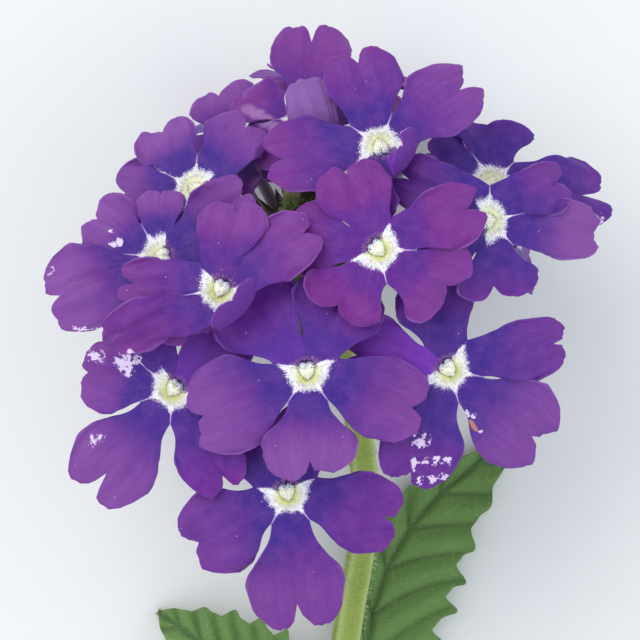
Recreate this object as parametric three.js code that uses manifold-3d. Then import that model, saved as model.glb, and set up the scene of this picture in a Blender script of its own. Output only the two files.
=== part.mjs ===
// A cut flowering shoot of garden verbena, lying down with its head turned up.
// Millimetres, +Z up. The stem lies along Y with its cut end at -Y.
import * as THREE from 'three';
import Module from 'manifold-3d';

const solids = await Module();
solids.setup();
const { Manifold, Mesh: SolidMesh } = solids;

// ---- driving dimensions ----
const BLADE = 0.62; // thickness of a corolla lobe
const RING = 3.5; // distance from the eye at which the five lobes part
const THROAT = 1.15; // radius of the mouth of the tube
const THROAT_DEPTH = 1.1;
const TUBE = 0.62; // radius of the corolla tube
const TUBE_NECK = 5; // straight part of the tube under the limb
const SEAT = 2; // how far the tube goes down into its calyx
const CALYX_LENGTH = 8.5;
const CALYX_MOUTH = 1.5;
const CALYX_WAIST = 1.35;
const CALYX_FOOT = 0.9;
const CALYX_BORE = 1.1;
const LEAF_BLADE = 0.7;

const SLOTS = {
  petal: { color: 0x6a2f96, roughness: 0.55 },
  stem: { color: 0x93a84e, roughness: 0.6 },
  leaf: { color: 0x4f7d3a, roughness: 0.65 },
};

// ---- small helpers ----
const rad = (degrees) => (degrees * Math.PI) / 180;
const vec = (x, y, z) => new THREE.Vector3(x, y, z);
const clamp = (x, lo, hi) => Math.min(hi, Math.max(lo, x));

// A point at an angle round a centre, in the plane of two directions.
const around = (at, side, up, radius, angle) => at.clone()
  .addScaledVector(side, radius * Math.cos(angle))
  .addScaledVector(up, radius * Math.sin(angle));

function mesh(name, slot, points, faces) {
  const flat = new Float32Array(points.length * 3);
  points.forEach((p, i) => p.toArray(flat, i * 3));
  const geometry = new THREE.BufferGeometry();
  geometry.setAttribute('position', new THREE.BufferAttribute(flat, 3));
  geometry.setIndex(faces.flat());
  const material = new THREE.MeshStandardMaterial({ ...SLOTS[slot], metalness: 0 });
  material.name = slot;
  const made = new THREE.Mesh(geometry, material);
  made.name = name;
  return made;
}

// Triangles between two rows of points whose counts may differ.
function strip(lower, upper, flip = false) {
  const out = [];
  let i = 0;
  let j = 0;
  while (i < lower.length - 1 || j < upper.length - 1) {
    const a = (i + 1) / (lower.length - 1);
    const b = (j + 1) / (upper.length - 1);
    const stepUpper = i === lower.length - 1 || (j < upper.length - 1 && b <= a + 1e-9);
    const tri = [lower[i], stepUpper ? upper[j + 1] : lower[i + 1], upper[j]];
    if (stepUpper) j += 1;
    else i += 1;
    out.push(flip ? tri.reverse() : tri);
  }
  return out;
}

// ---- the corolla: a narrow tube and a flat limb of five notched lobes ----
// Where a lobe ends, as a share of its length, at each place across it from its middle to its side.
const TIP = [[0, 0.83], [0.22, 0.96], [0.5, 1], [0.82, 0.9], [1, 0.62]];
const FULL = 0.44; // share of the way out at which a lobe without a neck is at its widest
const NECK = 0.5; // 0 for a lobe that is full from its base to 1 for one with a narrow neck
const NECK_SHIFT = 0.1; // how much further out a necked lobe is at its widest
const NARROWING = 0.14; // how much of its width it loses again towards its tip
const EDGE = [-1, -0.82, -0.5, -0.22, 0, 0.22, 0.5, 0.82, 1];
const ROWS = [
  { at: 0.36, across: [-1, -0.5, 0, 0.5, 1] },
  { at: 0.7, across: [-1, -0.67, -0.33, 0, 0.33, 0.67, 1] },
  { at: 1, across: EDGE },
];

function tipReach(v, notch) {
  const a = Math.abs(v);
  let k = 1;
  while (k < TIP.length - 1 && TIP[k][0] < a) k += 1;
  const [a0, e0] = TIP[k - 1];
  const [a1, e1] = TIP[k];
  const reach = e0 + ((e1 - e0) * (a - a0)) / (a1 - a0);
  return k === 1 ? reach - notch * (1 - a / a1) : reach;
}

// A point of a lobe in the floret's own frame: x, y in the limb and z the way it faces.
function lobePoint(lobe, share, v) {
  const long = lobe.length - RING;
  const reach = share * tipReach(v, lobe.notch) * (1 + lobe.skew * v);
  const d = reach * long;
  const turn = (lobe.rise1 - lobe.rise0) / long;
  const slope = lobe.rise0 + turn * d;
  const flat = Math.abs(turn) < 1e-4;
  const out = flat ? d * Math.cos(slope) : (Math.sin(slope) - Math.sin(lobe.rise0)) / turn;
  const up = flat ? d * Math.sin(slope) : (Math.cos(lobe.rise0) - Math.cos(slope)) / turn;
  const gap = v > 0 ? lobe.toNext : lobe.toLast;
  const base = RING * Math.sin(gap);
  const full = FULL + NECK_SHIFT * lobe.neck;
  const swell = Math.sin((Math.min(1, reach / full) * Math.PI) / 2) ** (1 + lobe.neck);
  const taper = 1 - NARROWING * Math.max(0, (reach - full) / (1 - full)) ** 2;
  const room = lobe.rise0 > 0.8 ? lobe.wide : (RING + out) * Math.tan(Math.min(gap, 1.2)) - 0.15;
  const side = v * Math.min(room, (base + (lobe.wide - base) * swell) * taper);
  const grown = clamp(d / 3, 0, 1);
  const roll = lobe.roll * grown;
  const cup = lobe.cup * lobe.wide * v * v * grown;
  const lateral = side * Math.cos(roll) - cup * Math.sin(roll);
  const lift = side * Math.sin(roll) + cup * Math.cos(roll);
  const r = lobe.fold + out - lift * Math.sin(slope);
  const z = up + lift * Math.cos(slope);
  const c = Math.cos(lobe.angle);
  const s = Math.sin(lobe.angle);
  return vec(r * c - lateral * s, r * s + lateral * c, z);
}

function readLobes(rows) {
  const lobes = rows.map(([angle, length, wide, rise0 = 0, rise1 = 0, more = {}]) => ({
    angle: rad(angle),
    length,
    wide,
    rise0: rad(rise0),
    rise1: rad(rise1),
    roll: rad(more.roll ?? 0),
    cup: more.cup ?? 0.06,
    notch: more.notch ?? 0,
    neck: more.neck ?? NECK,
    skew: more.skew ?? 0,
    fold: more.fold ?? RING,
  }));
  lobes.forEach((lobe, i) => {
    const next = lobes[(i + 1) % 5];
    lobe.toNext = ((next.angle - lobe.angle + 4 * Math.PI) % (2 * Math.PI)) / 2;
    lobe.after = lobe.angle + lobe.toNext;
  });
  lobes.forEach((lobe, i) => {
    lobe.toLast = lobes[(i + 4) % 5].toNext;
  });
  return lobes;
}

// The way a floret faces, from how far it leans along X and Y.
function facing([leanX, leanY]) {
  const n = vec(leanX, leanY, 1).normalize();
  const x = vec(1, 0, 0).addScaledVector(n, -n.x).normalize();
  const y = n.clone().cross(x);
  return { x, y, n };
}

function place(floret, p) {
  const { x, y, n } = floret.frame;
  return vec(...floret.eye).addScaledVector(x, p.x).addScaledVector(y, p.y).addScaledVector(n, p.z);
}

function corolla(name, floret) {
  const lobes = readLobes(floret.lobes);
  const points = [];
  const add = (p) => points.push(place(floret, p)) - 1;
  // upper face: throat, ring and lobes
  const apex = add(vec(0, 0, -THROAT_DEPTH));
  const mouth = [];
  const polar = (radius, angle, z) => vec(radius * Math.cos(angle), radius * Math.sin(angle), z);
  const sinus = lobes.map((lobe) => add(polar(RING, lobe.after, 0)));
  const middle = lobes.map((lobe) => add(polar(lobe.fold + 0.2, lobe.angle, 0)));
  lobes.forEach((lobe) => {
    [lobe.angle, lobe.after].forEach((a) => mouth.push(add(polar(THROAT, a, -0.05))));
  });
  const upper = [];
  const dimple = [];
  const rim = [];
  for (let i = 0; i < 10; i += 1) dimple.push([apex, mouth[i], mouth[(i + 1) % 10]]);
  lobes.forEach((lobe, i) => {
    const before = sinus[(i + 4) % 5];
    const arc = [before, middle[i], sinus[i]];
    const inner = [mouth[(2 * i + 9) % 10], mouth[2 * i], mouth[2 * i + 1]];
    upper.push(...strip(inner, arc, true));
    let lower = arc;
    const left = [];
    const right = [];
    ROWS.forEach(({ at, across }) => {
      const row = across.map((v) => add(lobePoint(lobe, at, v)));
      upper.push(...strip(lower, row, true));
      right.push(row[0]);
      left.push(row[row.length - 1]);
      lower = row;
    });
    rim.push(before, ...right.slice(0, -1), ...lower, ...left.slice(0, -1).reverse());
  });
  // each point's own outward direction, for a blade of even thickness
  const normal = points.map(() => vec(0, 0, 0));
  upper.forEach(([a, b, c]) => {
    const across = points[b].clone().sub(points[a]).cross(points[c].clone().sub(points[a]));
    [a, b, c].forEach((k) => normal[k].add(across));
  });
  const under = points.map((p, i) => (i === apex ? -1 : points.length + i));
  const count = points.length;
  for (let i = 0; i < count; i += 1) {
    if (i !== apex) normal[i].normalize();
    points.push(points[i].clone().addScaledVector(normal[i], -BLADE));
  }
  const faces = [...dimple, ...upper, ...upper.map(([a, b, c]) => [under[a], under[c], under[b]])];
  rim.forEach((a, i) => {
    const b = rim[(i + 1) % rim.length];
    faces.push([a, under[b], b], [a, under[a], under[b]]);
  });
  // the tube, five sided, down into the calyx
  let loop = mouth.map((i) => under[i]);
  const path = floret.tube;
  path.forEach(({ at, along, radius }, step) => {
    const { x } = floret.frame;
    const side = x.clone().addScaledVector(along, -x.dot(along)).normalize();
    const other = along.clone().cross(side);
    const ring = lobes.map((lobe) => points.push(around(at, side, other, radius, lobe.angle)) - 1);
    for (let i = 0; i < 5; i += 1) {
      const j = (i + 1) % 5;
      if (step === 0) {
        const [m0, m1, m2] = [loop[2 * i], loop[2 * i + 1], loop[(2 * i + 2) % 10]];
        faces.push([m0, ring[i], m1], [m1, ring[i], ring[j]], [m1, ring[j], m2]);
      } else {
        faces.push([loop[i], ring[i], ring[j]], [loop[i], ring[j], loop[j]]);
      }
    }
    loop = ring;
  });
  for (let i = 1; i < 4; i += 1) faces.push([loop[0], loop[i + 1], loop[i]]);
  // drop the unused copy of the throat's point
  const used = new Set(faces.flat());
  const renumber = new Map();
  const kept = points.filter((p, i) => used.has(i) && renumber.set(i, renumber.size));
  return mesh(name, 'petal', kept, faces.map((f) => f.map((i) => renumber.get(i))));
}

// ---- stem: square, lying, then rising into the head ----
const STEM_LINE = [
  [-2.6, -78, 1.56],
  [-0.6, -62, 1.54],
  [1.4, -44, 1.9],
  [3.3, -31, 3.0],
  [4.7, -22, 5.6],
  [4.4, -13.5, 9.4],
  [2.6, -4.5, 14.2],
  [-0.4, 4, 20.4],
  [-3.4, 11.3, 27],
];
const NODE_Y = -43; // where the two leaves stand
const STEM_WIDE = [2.9, 2.8, 2.8, 2.7, 2.6, 2.6, 2.5, 2.3, 1.7];
const stemCurve = new THREE.CatmullRomCurve3(STEM_LINE.map((p) => vec(...p)), false, 'centripetal');

function stemAt(t) {
  const i = clamp(Math.floor(t * (STEM_WIDE.length - 1)), 0, STEM_WIDE.length - 2);
  const k = t * (STEM_WIDE.length - 1) - i;
  const wide = STEM_WIDE[i] * (1 - k) + STEM_WIDE[i + 1] * k;
  return { at: stemCurve.getPoint(t), along: stemCurve.getTangent(t), wide };
}

function solid(points, faces) {
  const vertProperties = new Float32Array(points.length * 3);
  points.forEach((p, i) => p.toArray(vertProperties, i * 3));
  const triVerts = new Uint32Array(faces.flat());
  return new Manifold(new SolidMesh({ numProp: 3, vertProperties, triVerts }));
}

// A closed tube of rings that all have the same number of points.
function loft(rings) {
  const n = rings[0].length;
  const points = rings.flat();
  const faces = [];
  for (let r = 0; r < rings.length - 1; r += 1) {
    for (let i = 0; i < n; i += 1) {
      const j = (i + 1) % n;
      const [a, b, c, d] = [r * n + i, r * n + j, (r + 1) * n + j, (r + 1) * n + i];
      faces.push([a, b, c], [a, c, d]);
    }
  }
  const middle = (ring) => ring.reduce((sum, p) => sum.add(p), vec(0, 0, 0)).divideScalar(n);
  const top = (rings.length - 1) * n;
  const first = points.push(middle(rings[0])) - 1;
  const last = points.push(middle(rings[rings.length - 1])) - 1;
  for (let i = 0; i < n; i += 1) {
    const j = (i + 1) % n;
    faces.push([first, j, i], [last, top + i, top + j]);
  }
  return solid(points, faces);
}

function squareRing({ at, along, wide }, roll) {
  const side = vec(1, 0, 0).addScaledVector(along, -along.x).normalize();
  const up = along.clone().cross(side);
  const ring = [];
  for (let i = 0; i < 8; i += 1) {
    const a = rad(45 * i) + roll;
    const r = wide * (i % 2 ? 0.64 : 0.47);
    ring.push(around(at, side, up, r, a));
  }
  return ring;
}

function stemBody() {
  const rings = [];
  const steps = 22;
  for (let i = 0; i <= steps; i += 1) {
    const place = stemAt(i / steps);
    place.wide += 0.9 * Math.max(0, 1 - Math.abs(place.at.y - NODE_Y) / 5);
    rings.push(squareRing(place, rad(12)));
  }
  return loft(rings);
}

// Calyces that have dropped their corolla, at the top of the rachis.
// Each: where it leaves the rachis, where it ends and its radius.
const SPENT = [
  { from: 0.97, tip: [0.5, 11.9, 29.4], radius: 0.85 },
  { from: 0.95, tip: [-5.8, 9.4, 32], radius: 0.8 },
  { from: 0.99, tip: [-2.6, 14, 32], radius: 0.8 },
];

function spentCalyx({ from, tip, radius }) {
  const foot = stemCurve.getPoint(from);
  const end = vec(...tip);
  const out = end.clone().sub(foot).normalize();
  return pod([[foot, 0.6], [foot.clone().lerp(end, 0.5), radius], [end, radius * 1.15]], out);
}

// A six-sided pod through the given places, each with its radius.
function pod(places, out) {
  const side = vec(0, 0, 1).cross(out).normalize();
  const up = out.clone().cross(side);
  return loft(places.map(([at, radius]) => {
    const ring = [];
    for (let i = 0; i < 6; i += 1) ring.push(around(at, side, up, radius, rad(60 * i)));
    return ring;
  }));
}

function calyx(floret) {
  const { foot, mouth, out } = floret.calyx;
  const waist = foot.clone().lerp(mouth, 0.45);
  const body = pod([[foot, CALYX_FOOT], [waist, CALYX_WAIST], [mouth, CALYX_MOUTH]], out);
  const floor = mouth.clone().addScaledVector(out, -SEAT - 0.4);
  const beyond = mouth.clone().addScaledVector(out, 1);
  return body.subtract(pod([[floor, CALYX_BORE], [beyond, CALYX_BORE]], out));
}

function meshOf(body, name, slot) {
  const { vertProperties, triVerts, numProp } = body.getMesh();
  const points = [];
  for (let i = 0; i < vertProperties.length; i += numProp) {
    points.push(vec(vertProperties[i], vertProperties[i + 1], vertProperties[i + 2]));
  }
  const faces = [];
  for (let i = 0; i < triVerts.length; i += 3) faces.push([...triVerts.subarray(i, i + 3)]);
  return mesh(name, slot, points, faces);
}

// ---- the florets of the head ----
// eye: middle of the limb. lean: how far it faces along X and Y.
// seat: place of its calyx up the rachis, from 0 to 1.
// Each lobe: direction, length from the eye, half width, rise at its base and at its tip.
// fold: how far from the eye an upright lobe folds up.
const FLORETS = [
  {
    eye: [-1.3, -5.2, 38.2], lean: [0, -0.05], seat: 0.72,
    lobes: [[65, 10.5, 4.7, -4, -22], [130, 11.2, 4.8, -9, -17],
      [203, 12.4, 4.9, -2, -10, { skew: 0.05, neck: 0.2, notch: -0.05 }],
      [272, 10.5, 4.8, 2, -6, { skew: -0.09, neck: 0.8, notch: 0.1 }],
      [341, 12.3, 4.2, 0, -8, { skew: -0.02, neck: 0.2 }]],
  },
  {
    eye: [-14.8, -7, 35], lean: [-0.2, -0.08], seat: 0.3,
    lobes: [[48, 9.5, 4, -4, -6], [115, 9, 2.9, -6, -10],
      [170, 9.6, 3.7, 0, -8, { neck: 0.2, notch: -0.05 }],
      [231, 14, 4.5, 0, -8, { neck: 0.9, notch: 0.1 }], [300, 11.4, 3.6, 4, 0, { neck: 0.9 }]],
  },
  {
    eye: [-3.3, -17.5, 34.2], lean: [0, -0.1], seat: 0.1,
    lobes: [[72, 9, 3.4, -4, -10], [128, 9.5, 3.4, -4, -10], [210, 11.4, 4.6, -5, -12, { notch: -0.08 }],
      [275, 13.8, 5, 0, -6, { neck: 1, notch: 0.09 }], [346, 11.7, 4.2, 0, -4, { notch: 0.04 }]],
  },
  {
    eye: [13, -5, 35.2], lean: [0.2, -0.05], seat: 0.25,
    lobes: [[13, 12.4, 3.2, 0, -2, { neck: 0.7, notch: 0.03, skew: 0.05 }], [103, 9.5, 4.1, -4, -10],
      [171, 11, 4.3, -8, -16], [250, 12.2, 4.3, 0, -8, { neck: 0.8 }], [322, 12.7, 4.9, 0, -8]],
  },
  {
    eye: [5.8, 7, 40.4], lean: [0.06, 0.08], seat: 0.9,
    lobes: [[25, 11.2, 3.3, -2, -8, { neck: 0.9 }], [112, 9.3, 3.9, -4, -14, { neck: 0.3 }],
      [170, 9.2, 3.8, -10, -22], [234, 7.8, 4.3, -6, -18, { skew: -0.08 }],
      [333, 8.8, 4.8, -6, -16, { skew: 0.18 }]],
  },
  {
    eye: [-9.9, 3, 41], lean: [-0.12, 0.12], seat: 0.85,
    lobes: [[34, 11.2, 3.2, 0, -2], [79, 8.9, 3.5, 8, -6, { skew: -0.1, notch: 0.03 }],
      [174, 10.2, 2.6, -2, -12, { neck: 0.2 }], [202, 12.4, 2.9, -4, -12, { roll: -36, neck: 0.2 }],
      [318, 7.3, 3.3, 92, 120, { fold: 2.9, neck: 2.4 }]],
  },
  {
    eye: [-12.7, 13.3, 33.8], lean: [-0.35, 0.35], seat: 0.5,
    lobes: [[50, 9, 3.6, -4, -10], [119, 8.3, 3.3, 0, -6, { neck: 0.8, skew: 0.08, notch: -0.05 }],
      [176, 8.5, 3.5, 0, -8], [236, 6, 2.6, -12, -24], [310, 7, 3, -8, -16]],
  },
  {
    eye: [-16, 6.3, 37.2], lean: [-0.3, 0.1], seat: 0.55,
    lobes: [[36, 11.2, 3, -1, -3], [92, 7, 2.7, -4, -14], [149, 8.7, 3.6, -2, -12],
      [198, 12.8, 4.6, -2, -10, { neck: 0.3, notch: 0.04 }], [290, 9, 3.6, -12, -20]],
  },
  {
    eye: [6, 17.5, 36.8], lean: [0.05, 0.4], seat: 0.8,
    lobes: [[38, 11.8, 3.9, 6, -2], [103, 10.8, 4.1, 4, -6], [188, 11.4, 4.1, -2, -12, { neck: 0.3 }],
      [255, 8, 3.4, -14, -24], [328, 7.1, 2.4, 89, 128, { skew: 0.15, fold: 3.1, neck: 2.4 }]],
  },
  {
    eye: [17, 10, 36], lean: [0.4, 0.05], seat: 0.5,
    lobes: [[28, 9.4, 2.8, 2, -6, { notch: -0.08 }], [151, 11, 3, -22, -34], [215, 8, 3.2, -12, -20],
      [277, 7.9, 4.8, -2, -12, { notch: 0.06 }], [356, 12.4, 3.1, -2, -6, { notch: -0.1 }]],
  },
  {
    eye: [17.5, 13.9, 31], lean: [0.35, 0.4], seat: 0.35,
    lobes: [[2, 12.9, 4, 0, -8, { notch: 0.1, skew: -0.05 }], [94, 6.8, 4.9, 0, -6, { notch: -0.05 }],
      [158, 7.6, 3.3, -4, -10], [206, 5, 1.9, -26, -32], [285, 7, 2.3, -16, -24]],
  },
  {
    eye: [-1.2, 20.6, 31], lean: [-0.05, 0.8], seat: 0.6,
    lobes: [[28, 10, 3.8, -2, -10], [88, 12.4, 4.2, 2, -2, { notch: 0.14 }], [155, 8, 3.2, 0, -10],
      [214, 7.5, 3, -14, -20], [286, 10.3, 2.5, 108, 184, { notch: -0.14 }]],
  },
  {
    eye: [-8, 18.4, 27], lean: [-0.3, 0.7], seat: 0.45,
    lobes: [[44, 8.2, 3.2, -4, -10], [112, 7.6, 3.6, 0, -8], [195, 7.6, 3.6, -2, -8],
      [262, 6.6, 3, -4, -10], [325, 6.6, 2.8, -12, -18]],
  },
  {
    eye: [-11.4, 20.2, 11.63], lean: [-2.4, 5], seat: 0.15,
    lobes: [[20, 8.6, 3.8, -4, -14], [92, 11.6, 4.3, 0, -8], [164, 9.6, 4.2, 0, -10],
      [236, 12, 4.2, 0, -6], [308, 12, 4.2, 0, -6]],
  },
  {
    eye: [10.8, 21.6, 11.68], lean: [1.8, 5], seat: 0.2,
    lobes: [[20, 10.8, 4.1, -2, -12], [92, 11.6, 4.3, 0, -8], [164, 8.6, 4, -4, -14],
      [236, 12, 4.2, 0, -6], [308, 11.3, 3.9, 0, -6]],
  },
  {
    eye: [0.6, 25.7, 15], lean: [0.3, 5], seat: 0.35,
    lobes: [[-14, 9.6, 3.9, 0, 0], [58, 8.4, 3.6, 0, 0], [126, 7.3, 3.2, 0, 0],
      [196, 7.8, 3.6, 0, 0], [270, 10.2, 3.8, 0, -4]],
  },
  {
    eye: [-20.4, 4.8, 21.6], lean: [-5, 0.4], seat: 0.2,
    lobes: [[18, 9.6, 3.8, 0, -8], [90, 9.4, 3.8, 0, -6], [162, 9.6, 3.8, 0, -8],
      [234, 10.4, 4.1, 0, -6], [306, 10.4, 4.1, 0, -6]],
  },
  {
    eye: [20.4, 9.3, 20.5], lean: [5, 0.8], seat: 0.3,
    lobes: [[18, 8.8, 3.6, 0, -8], [90, 8.3, 3.3, 0, -6], [162, 8.6, 3.3, 0, -8],
      [234, 9.2, 3.4, 0, -6], [306, 6.6, 3.6, 0, -6]],
  },
];

// The calyx leaves the rachis towards the floret, and the tube bends on to meet the limb square.
const RACHIS_FOOT = 0.8;
FLORETS.forEach((floret) => {
  const frame = facing(floret.lean);
  floret.frame = frame;
  const eye = vec(...floret.eye);
  const foot = stemCurve.getPoint(RACHIS_FOOT + (0.985 - RACHIS_FOOT) * floret.seat);
  const neck = eye.clone().addScaledVector(frame.n, -TUBE_NECK);
  const out = neck.clone().sub(foot).normalize();
  const mouth = foot.clone().addScaledVector(out, CALYX_LENGTH);
  floret.calyx = { foot, mouth, out };
  const path = new THREE.CubicBezierCurve3(
    eye.clone().addScaledVector(frame.n, -BLADE),
    neck,
    mouth.clone().addScaledVector(out, 3),
    mouth,
  );
  floret.tube = [0.16, 0.45, 0.75, 1].map((t) => ({
    at: path.getPoint(t),
    along: path.getTangent(t).negate(),
    radius: t < 0.2 ? TUBE + 0.2 : TUBE,
  }));
  floret.tube.push({ at: mouth.clone().addScaledVector(out, -SEAT), along: out, radius: TUBE });
});

// ---- leaves: a pair of toothed blades from one node of the stem ----
const TEETH = 6;
const TOOTH_DIP = 0.86; // width between two teeth, as a share of the blade's
const TOOTH_TIP = 1.04;
const STALK = 0.9; // half width of the stalk
const STALK_END = 0.14; // share of the leaf's length that is stalk
const PLEAT = 0.12; // how far the blade dips and rises from one tooth to the next

// droop and lift: how far the tip hangs and the middle rises. lean: rise of both margins.
// bow: how far the midrib curves aside. narrow and fold: how much narrower and steeper
// the half beside the stem is.
function leaf(name, { foot, tip, droop, wide, lean, lift, bow = 0, narrow = 1, fold = 0 }) {
  const start = vec(...foot);
  const end = vec(...tip);
  const along = end.clone().sub(start);
  const long = along.length();
  along.normalize();
  const side = vec(0, 0, 1).cross(along).normalize();
  const up = along.clone().cross(side);
  const stations = [];
  const spine = (s) => start.clone().addScaledVector(along, s * long)
    .addScaledVector(up, lift * Math.sin(Math.PI * s) - droop * s * s)
    .addScaledVector(side, bow * Math.sin(Math.PI * s));
  const across = (s) => {
    const turn = Math.atan((bow * Math.PI * Math.cos(Math.PI * s)) / long);
    return side.clone().multiplyScalar(Math.cos(turn)).addScaledVector(along, -Math.sin(turn));
  };
  const count = 2 * TEETH + 2;
  for (let i = 0; i <= count; i += 1) {
    const s = i / count;
    const body = Math.sin(Math.PI * Math.min(1, s ** 0.75)) ** 0.8;
    const tooth = i % 2 ? TOOTH_DIP : TOOTH_TIP;
    const half = s < STALK_END ? STALK : Math.max(STALK, (wide / 2) * body * tooth);
    stations.push({ s, half: i === count ? 0.4 : half, forward: i % 2 ? -0.01 : 0.015 });
  }
  const columns = [-1, -0.5, 0, 0.5, 1];
  const points = [];
  stations.forEach(({ s, half, forward }, i) => {
    columns.forEach((v) => {
      const beside = v > 0 && narrow < 1;
      const share = beside ? narrow * Math.min(1, (2 * s) ** 2) : 1;
      const reach = Math.abs(v) * Math.max(0.4, half * share);
      const rise = lean * Math.abs(v) + (v > 0 ? fold : 0);
      const pleat = (i % 2 ? PLEAT : -PLEAT) * Math.abs(v) * (s > STALK_END ? 1 : 0);
      const p = spine(clamp(s + forward * Math.abs(v), 0, 1))
        .addScaledVector(across(s), Math.sign(v) * reach)
        .addScaledVector(up, reach * rise + pleat);
      points.push(p);
    });
  });
  const n = columns.length;
  const faces = [];
  for (let i = 0; i < stations.length - 1; i += 1) {
    for (let j = 0; j < n - 1; j += 1) {
      const [a, b, c, d] = [i * n + j, i * n + j + 1, (i + 1) * n + j + 1, (i + 1) * n + j];
      if (j < (n - 1) / 2) faces.push([a, b, d], [b, c, d]);
      else faces.push([a, b, c], [a, c, d]);
    }
  }
  const upper = faces.map(([a, b, c]) => [a, c, b]);
  const total = points.length;
  for (let i = 0; i < total; i += 1) points.push(points[i].clone().addScaledVector(up, -LEAF_BLADE));
  const all = [...upper, ...upper.map(([a, b, c]) => [a + total, c + total, b + total])];
  const rim = [];
  for (let j = 0; j < n; j += 1) rim.push(j);
  for (let i = 1; i < stations.length; i += 1) rim.push(i * n + n - 1);
  for (let j = n - 2; j >= 0; j -= 1) rim.push((stations.length - 1) * n + j);
  for (let i = stations.length - 2; i > 0; i -= 1) rim.push(i * n);
  rim.forEach((a, i) => {
    const b = rim[(i + 1) % rim.length];
    all.push([a, b, b + total], [a, b + total, a + total]);
  });
  return mesh(name, 'leaf', points, all);
}

// ---- the whole shoot, stood over the middle of its own outline ----
const MIDDLE = [0.95, -23.93];
const pods = [...FLORETS.map(calyx), ...SPENT.map(spentCalyx)];
const woody = pods.reduce((sum, one) => sum.add(one), stemBody());
const group = new THREE.Group();
group.add(meshOf(woody, 'stem', 'stem'));
FLORETS.forEach((floret, i) => {
  group.add(corolla(`floret_${String(i + 1).padStart(2, '0')}`, floret));
});
group.add(leaf('leaf_right', {
  foot: [4.5, -42.6, 1.7], tip: [21.5, -12.2, 1.6], droop: 0.2, wide: 16.2, lean: 0.06, lift: 0,
  bow: 5.4, narrow: 0.45, fold: 0.1,
}));
group.add(leaf('leaf_left', {
  foot: [-0.6, -42.8, 2.6], tip: [-17.5, -31.5, 2.35], droop: 1.5, wide: 12, lean: 0.12, lift: 3,
}));
group.children.forEach((one) => one.geometry.translate(-MIDDLE[0], -MIDDLE[1], 0));

export default group;
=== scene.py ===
"""The looks of a cut flowering shoot of garden verbena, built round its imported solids.

Shapes are worked out in the shoot's own millimetres and become metres when a mesh is made.
"""

import math
from itertools import combinations

import bpy
import numpy as np
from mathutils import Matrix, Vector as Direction


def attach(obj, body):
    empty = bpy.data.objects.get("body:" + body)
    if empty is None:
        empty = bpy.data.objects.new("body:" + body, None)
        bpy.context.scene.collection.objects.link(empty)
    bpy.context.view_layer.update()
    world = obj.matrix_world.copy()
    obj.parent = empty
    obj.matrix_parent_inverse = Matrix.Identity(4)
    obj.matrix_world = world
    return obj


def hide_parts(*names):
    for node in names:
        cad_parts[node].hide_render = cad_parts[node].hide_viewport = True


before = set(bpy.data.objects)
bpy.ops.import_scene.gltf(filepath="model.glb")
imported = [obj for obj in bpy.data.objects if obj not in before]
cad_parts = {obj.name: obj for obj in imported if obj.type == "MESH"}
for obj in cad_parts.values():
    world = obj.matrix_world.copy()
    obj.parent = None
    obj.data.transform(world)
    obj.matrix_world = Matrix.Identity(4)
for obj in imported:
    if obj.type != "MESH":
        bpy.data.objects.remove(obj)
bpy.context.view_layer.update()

MM = 0.001
MIDDLE = np.array([0.95, -23.93, 0.0])  # middle of the outline, taken off every place below

# ---- camera, floor and light ----
HEAD_MIDDLE = (0.0, 0.0, 37.0)
CAMERA_DISTANCE = 450.0
SEEN_WIDTH = 64.0  # how much of the head's plane the camera sees
SENSOR = 36.0
NEAREST_SEEN = 0.01  # metres
FLOOR_WIDTH = 2.0  # metres
FLOOR_DROP = 0.2  # how far the floor lies below the part, so that the two don't flicker
SKY = (0.86, 0.92, 1.0, 1.0)
SKY_STRENGTH = 0.94
PAPER = (0.80, 0.80, 0.78, 1.0)
# Each light: name, place, width, power in watts and colour.
LIGHTS = [
    ("key", (-180, 170, 400), 320, 0.94, (1.0, 0.985, 0.96)),
    ("fill", (260, -120, 300), 320, 0.24, (0.9, 0.94, 1.0)),
]


def place_mm(point):
    """A place given in the shoot's own millimetres, in metres of the frame."""
    return [float(c) * MM for c in np.asarray(point, float) - MIDDLE]


def add_object(name, data):
    made = bpy.data.objects.new(name, data)
    bpy.context.scene.collection.objects.link(made)
    return made


def make_camera():
    data = bpy.data.cameras.new("camera")
    data.sensor_width = SENSOR
    data.lens = SENSOR * CAMERA_DISTANCE / SEEN_WIDTH
    data.clip_start = NEAREST_SEEN
    camera = add_object("camera", data)
    x, y, z = HEAD_MIDDLE
    camera.location = place_mm((x, y, z + CAMERA_DISTANCE))
    bpy.context.scene.camera = camera


def make_light(name, at, width, power, colour):
    data = bpy.data.lights.new(name, "AREA")
    data.size = width * MM
    data.energy = power
    data.color = colour
    lamp = add_object(name, data)
    lamp.location = place_mm(at)
    aim = np.array(HEAD_MIDDLE) - np.array(at)
    lamp.rotation_euler = Direction(aim).to_track_quat("-Z", "Y").to_euler()


def make_sky():
    world = bpy.data.worlds.new("sky")
    world.use_nodes = True
    sky = world.node_tree.nodes["Background"]
    sky.inputs["Color"].default_value = SKY
    sky.inputs["Strength"].default_value = SKY_STRENGTH
    bpy.context.scene.world = world


def make_floor():
    bpy.ops.mesh.primitive_plane_add(size=FLOOR_WIDTH, location=(0.0, 0.0, -FLOOR_DROP * MM))
    floor = bpy.context.object
    floor.name = "floor"
    paper = Nodes("floor_paper")
    paper.colour = PAPER
    floor.data.materials.append(paper.surface(Roughness=0.9))


# ---- laying out materials ----
def srgb(red, green, blue):
    """A colour of 0 to 255 as Blender's linear colour."""
    out = []
    for c in (red, green, blue):
        c /= 255
        out.append(c / 12.92 if c <= 0.04045 else ((c + 0.055) / 1.055) ** 2.4)
    return (*out, 1.0)


def operator(operation):
    """A method of Value that lays an operation out as a node."""
    return lambda value, *others: value.nodes.math(operation, value, *others)


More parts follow.
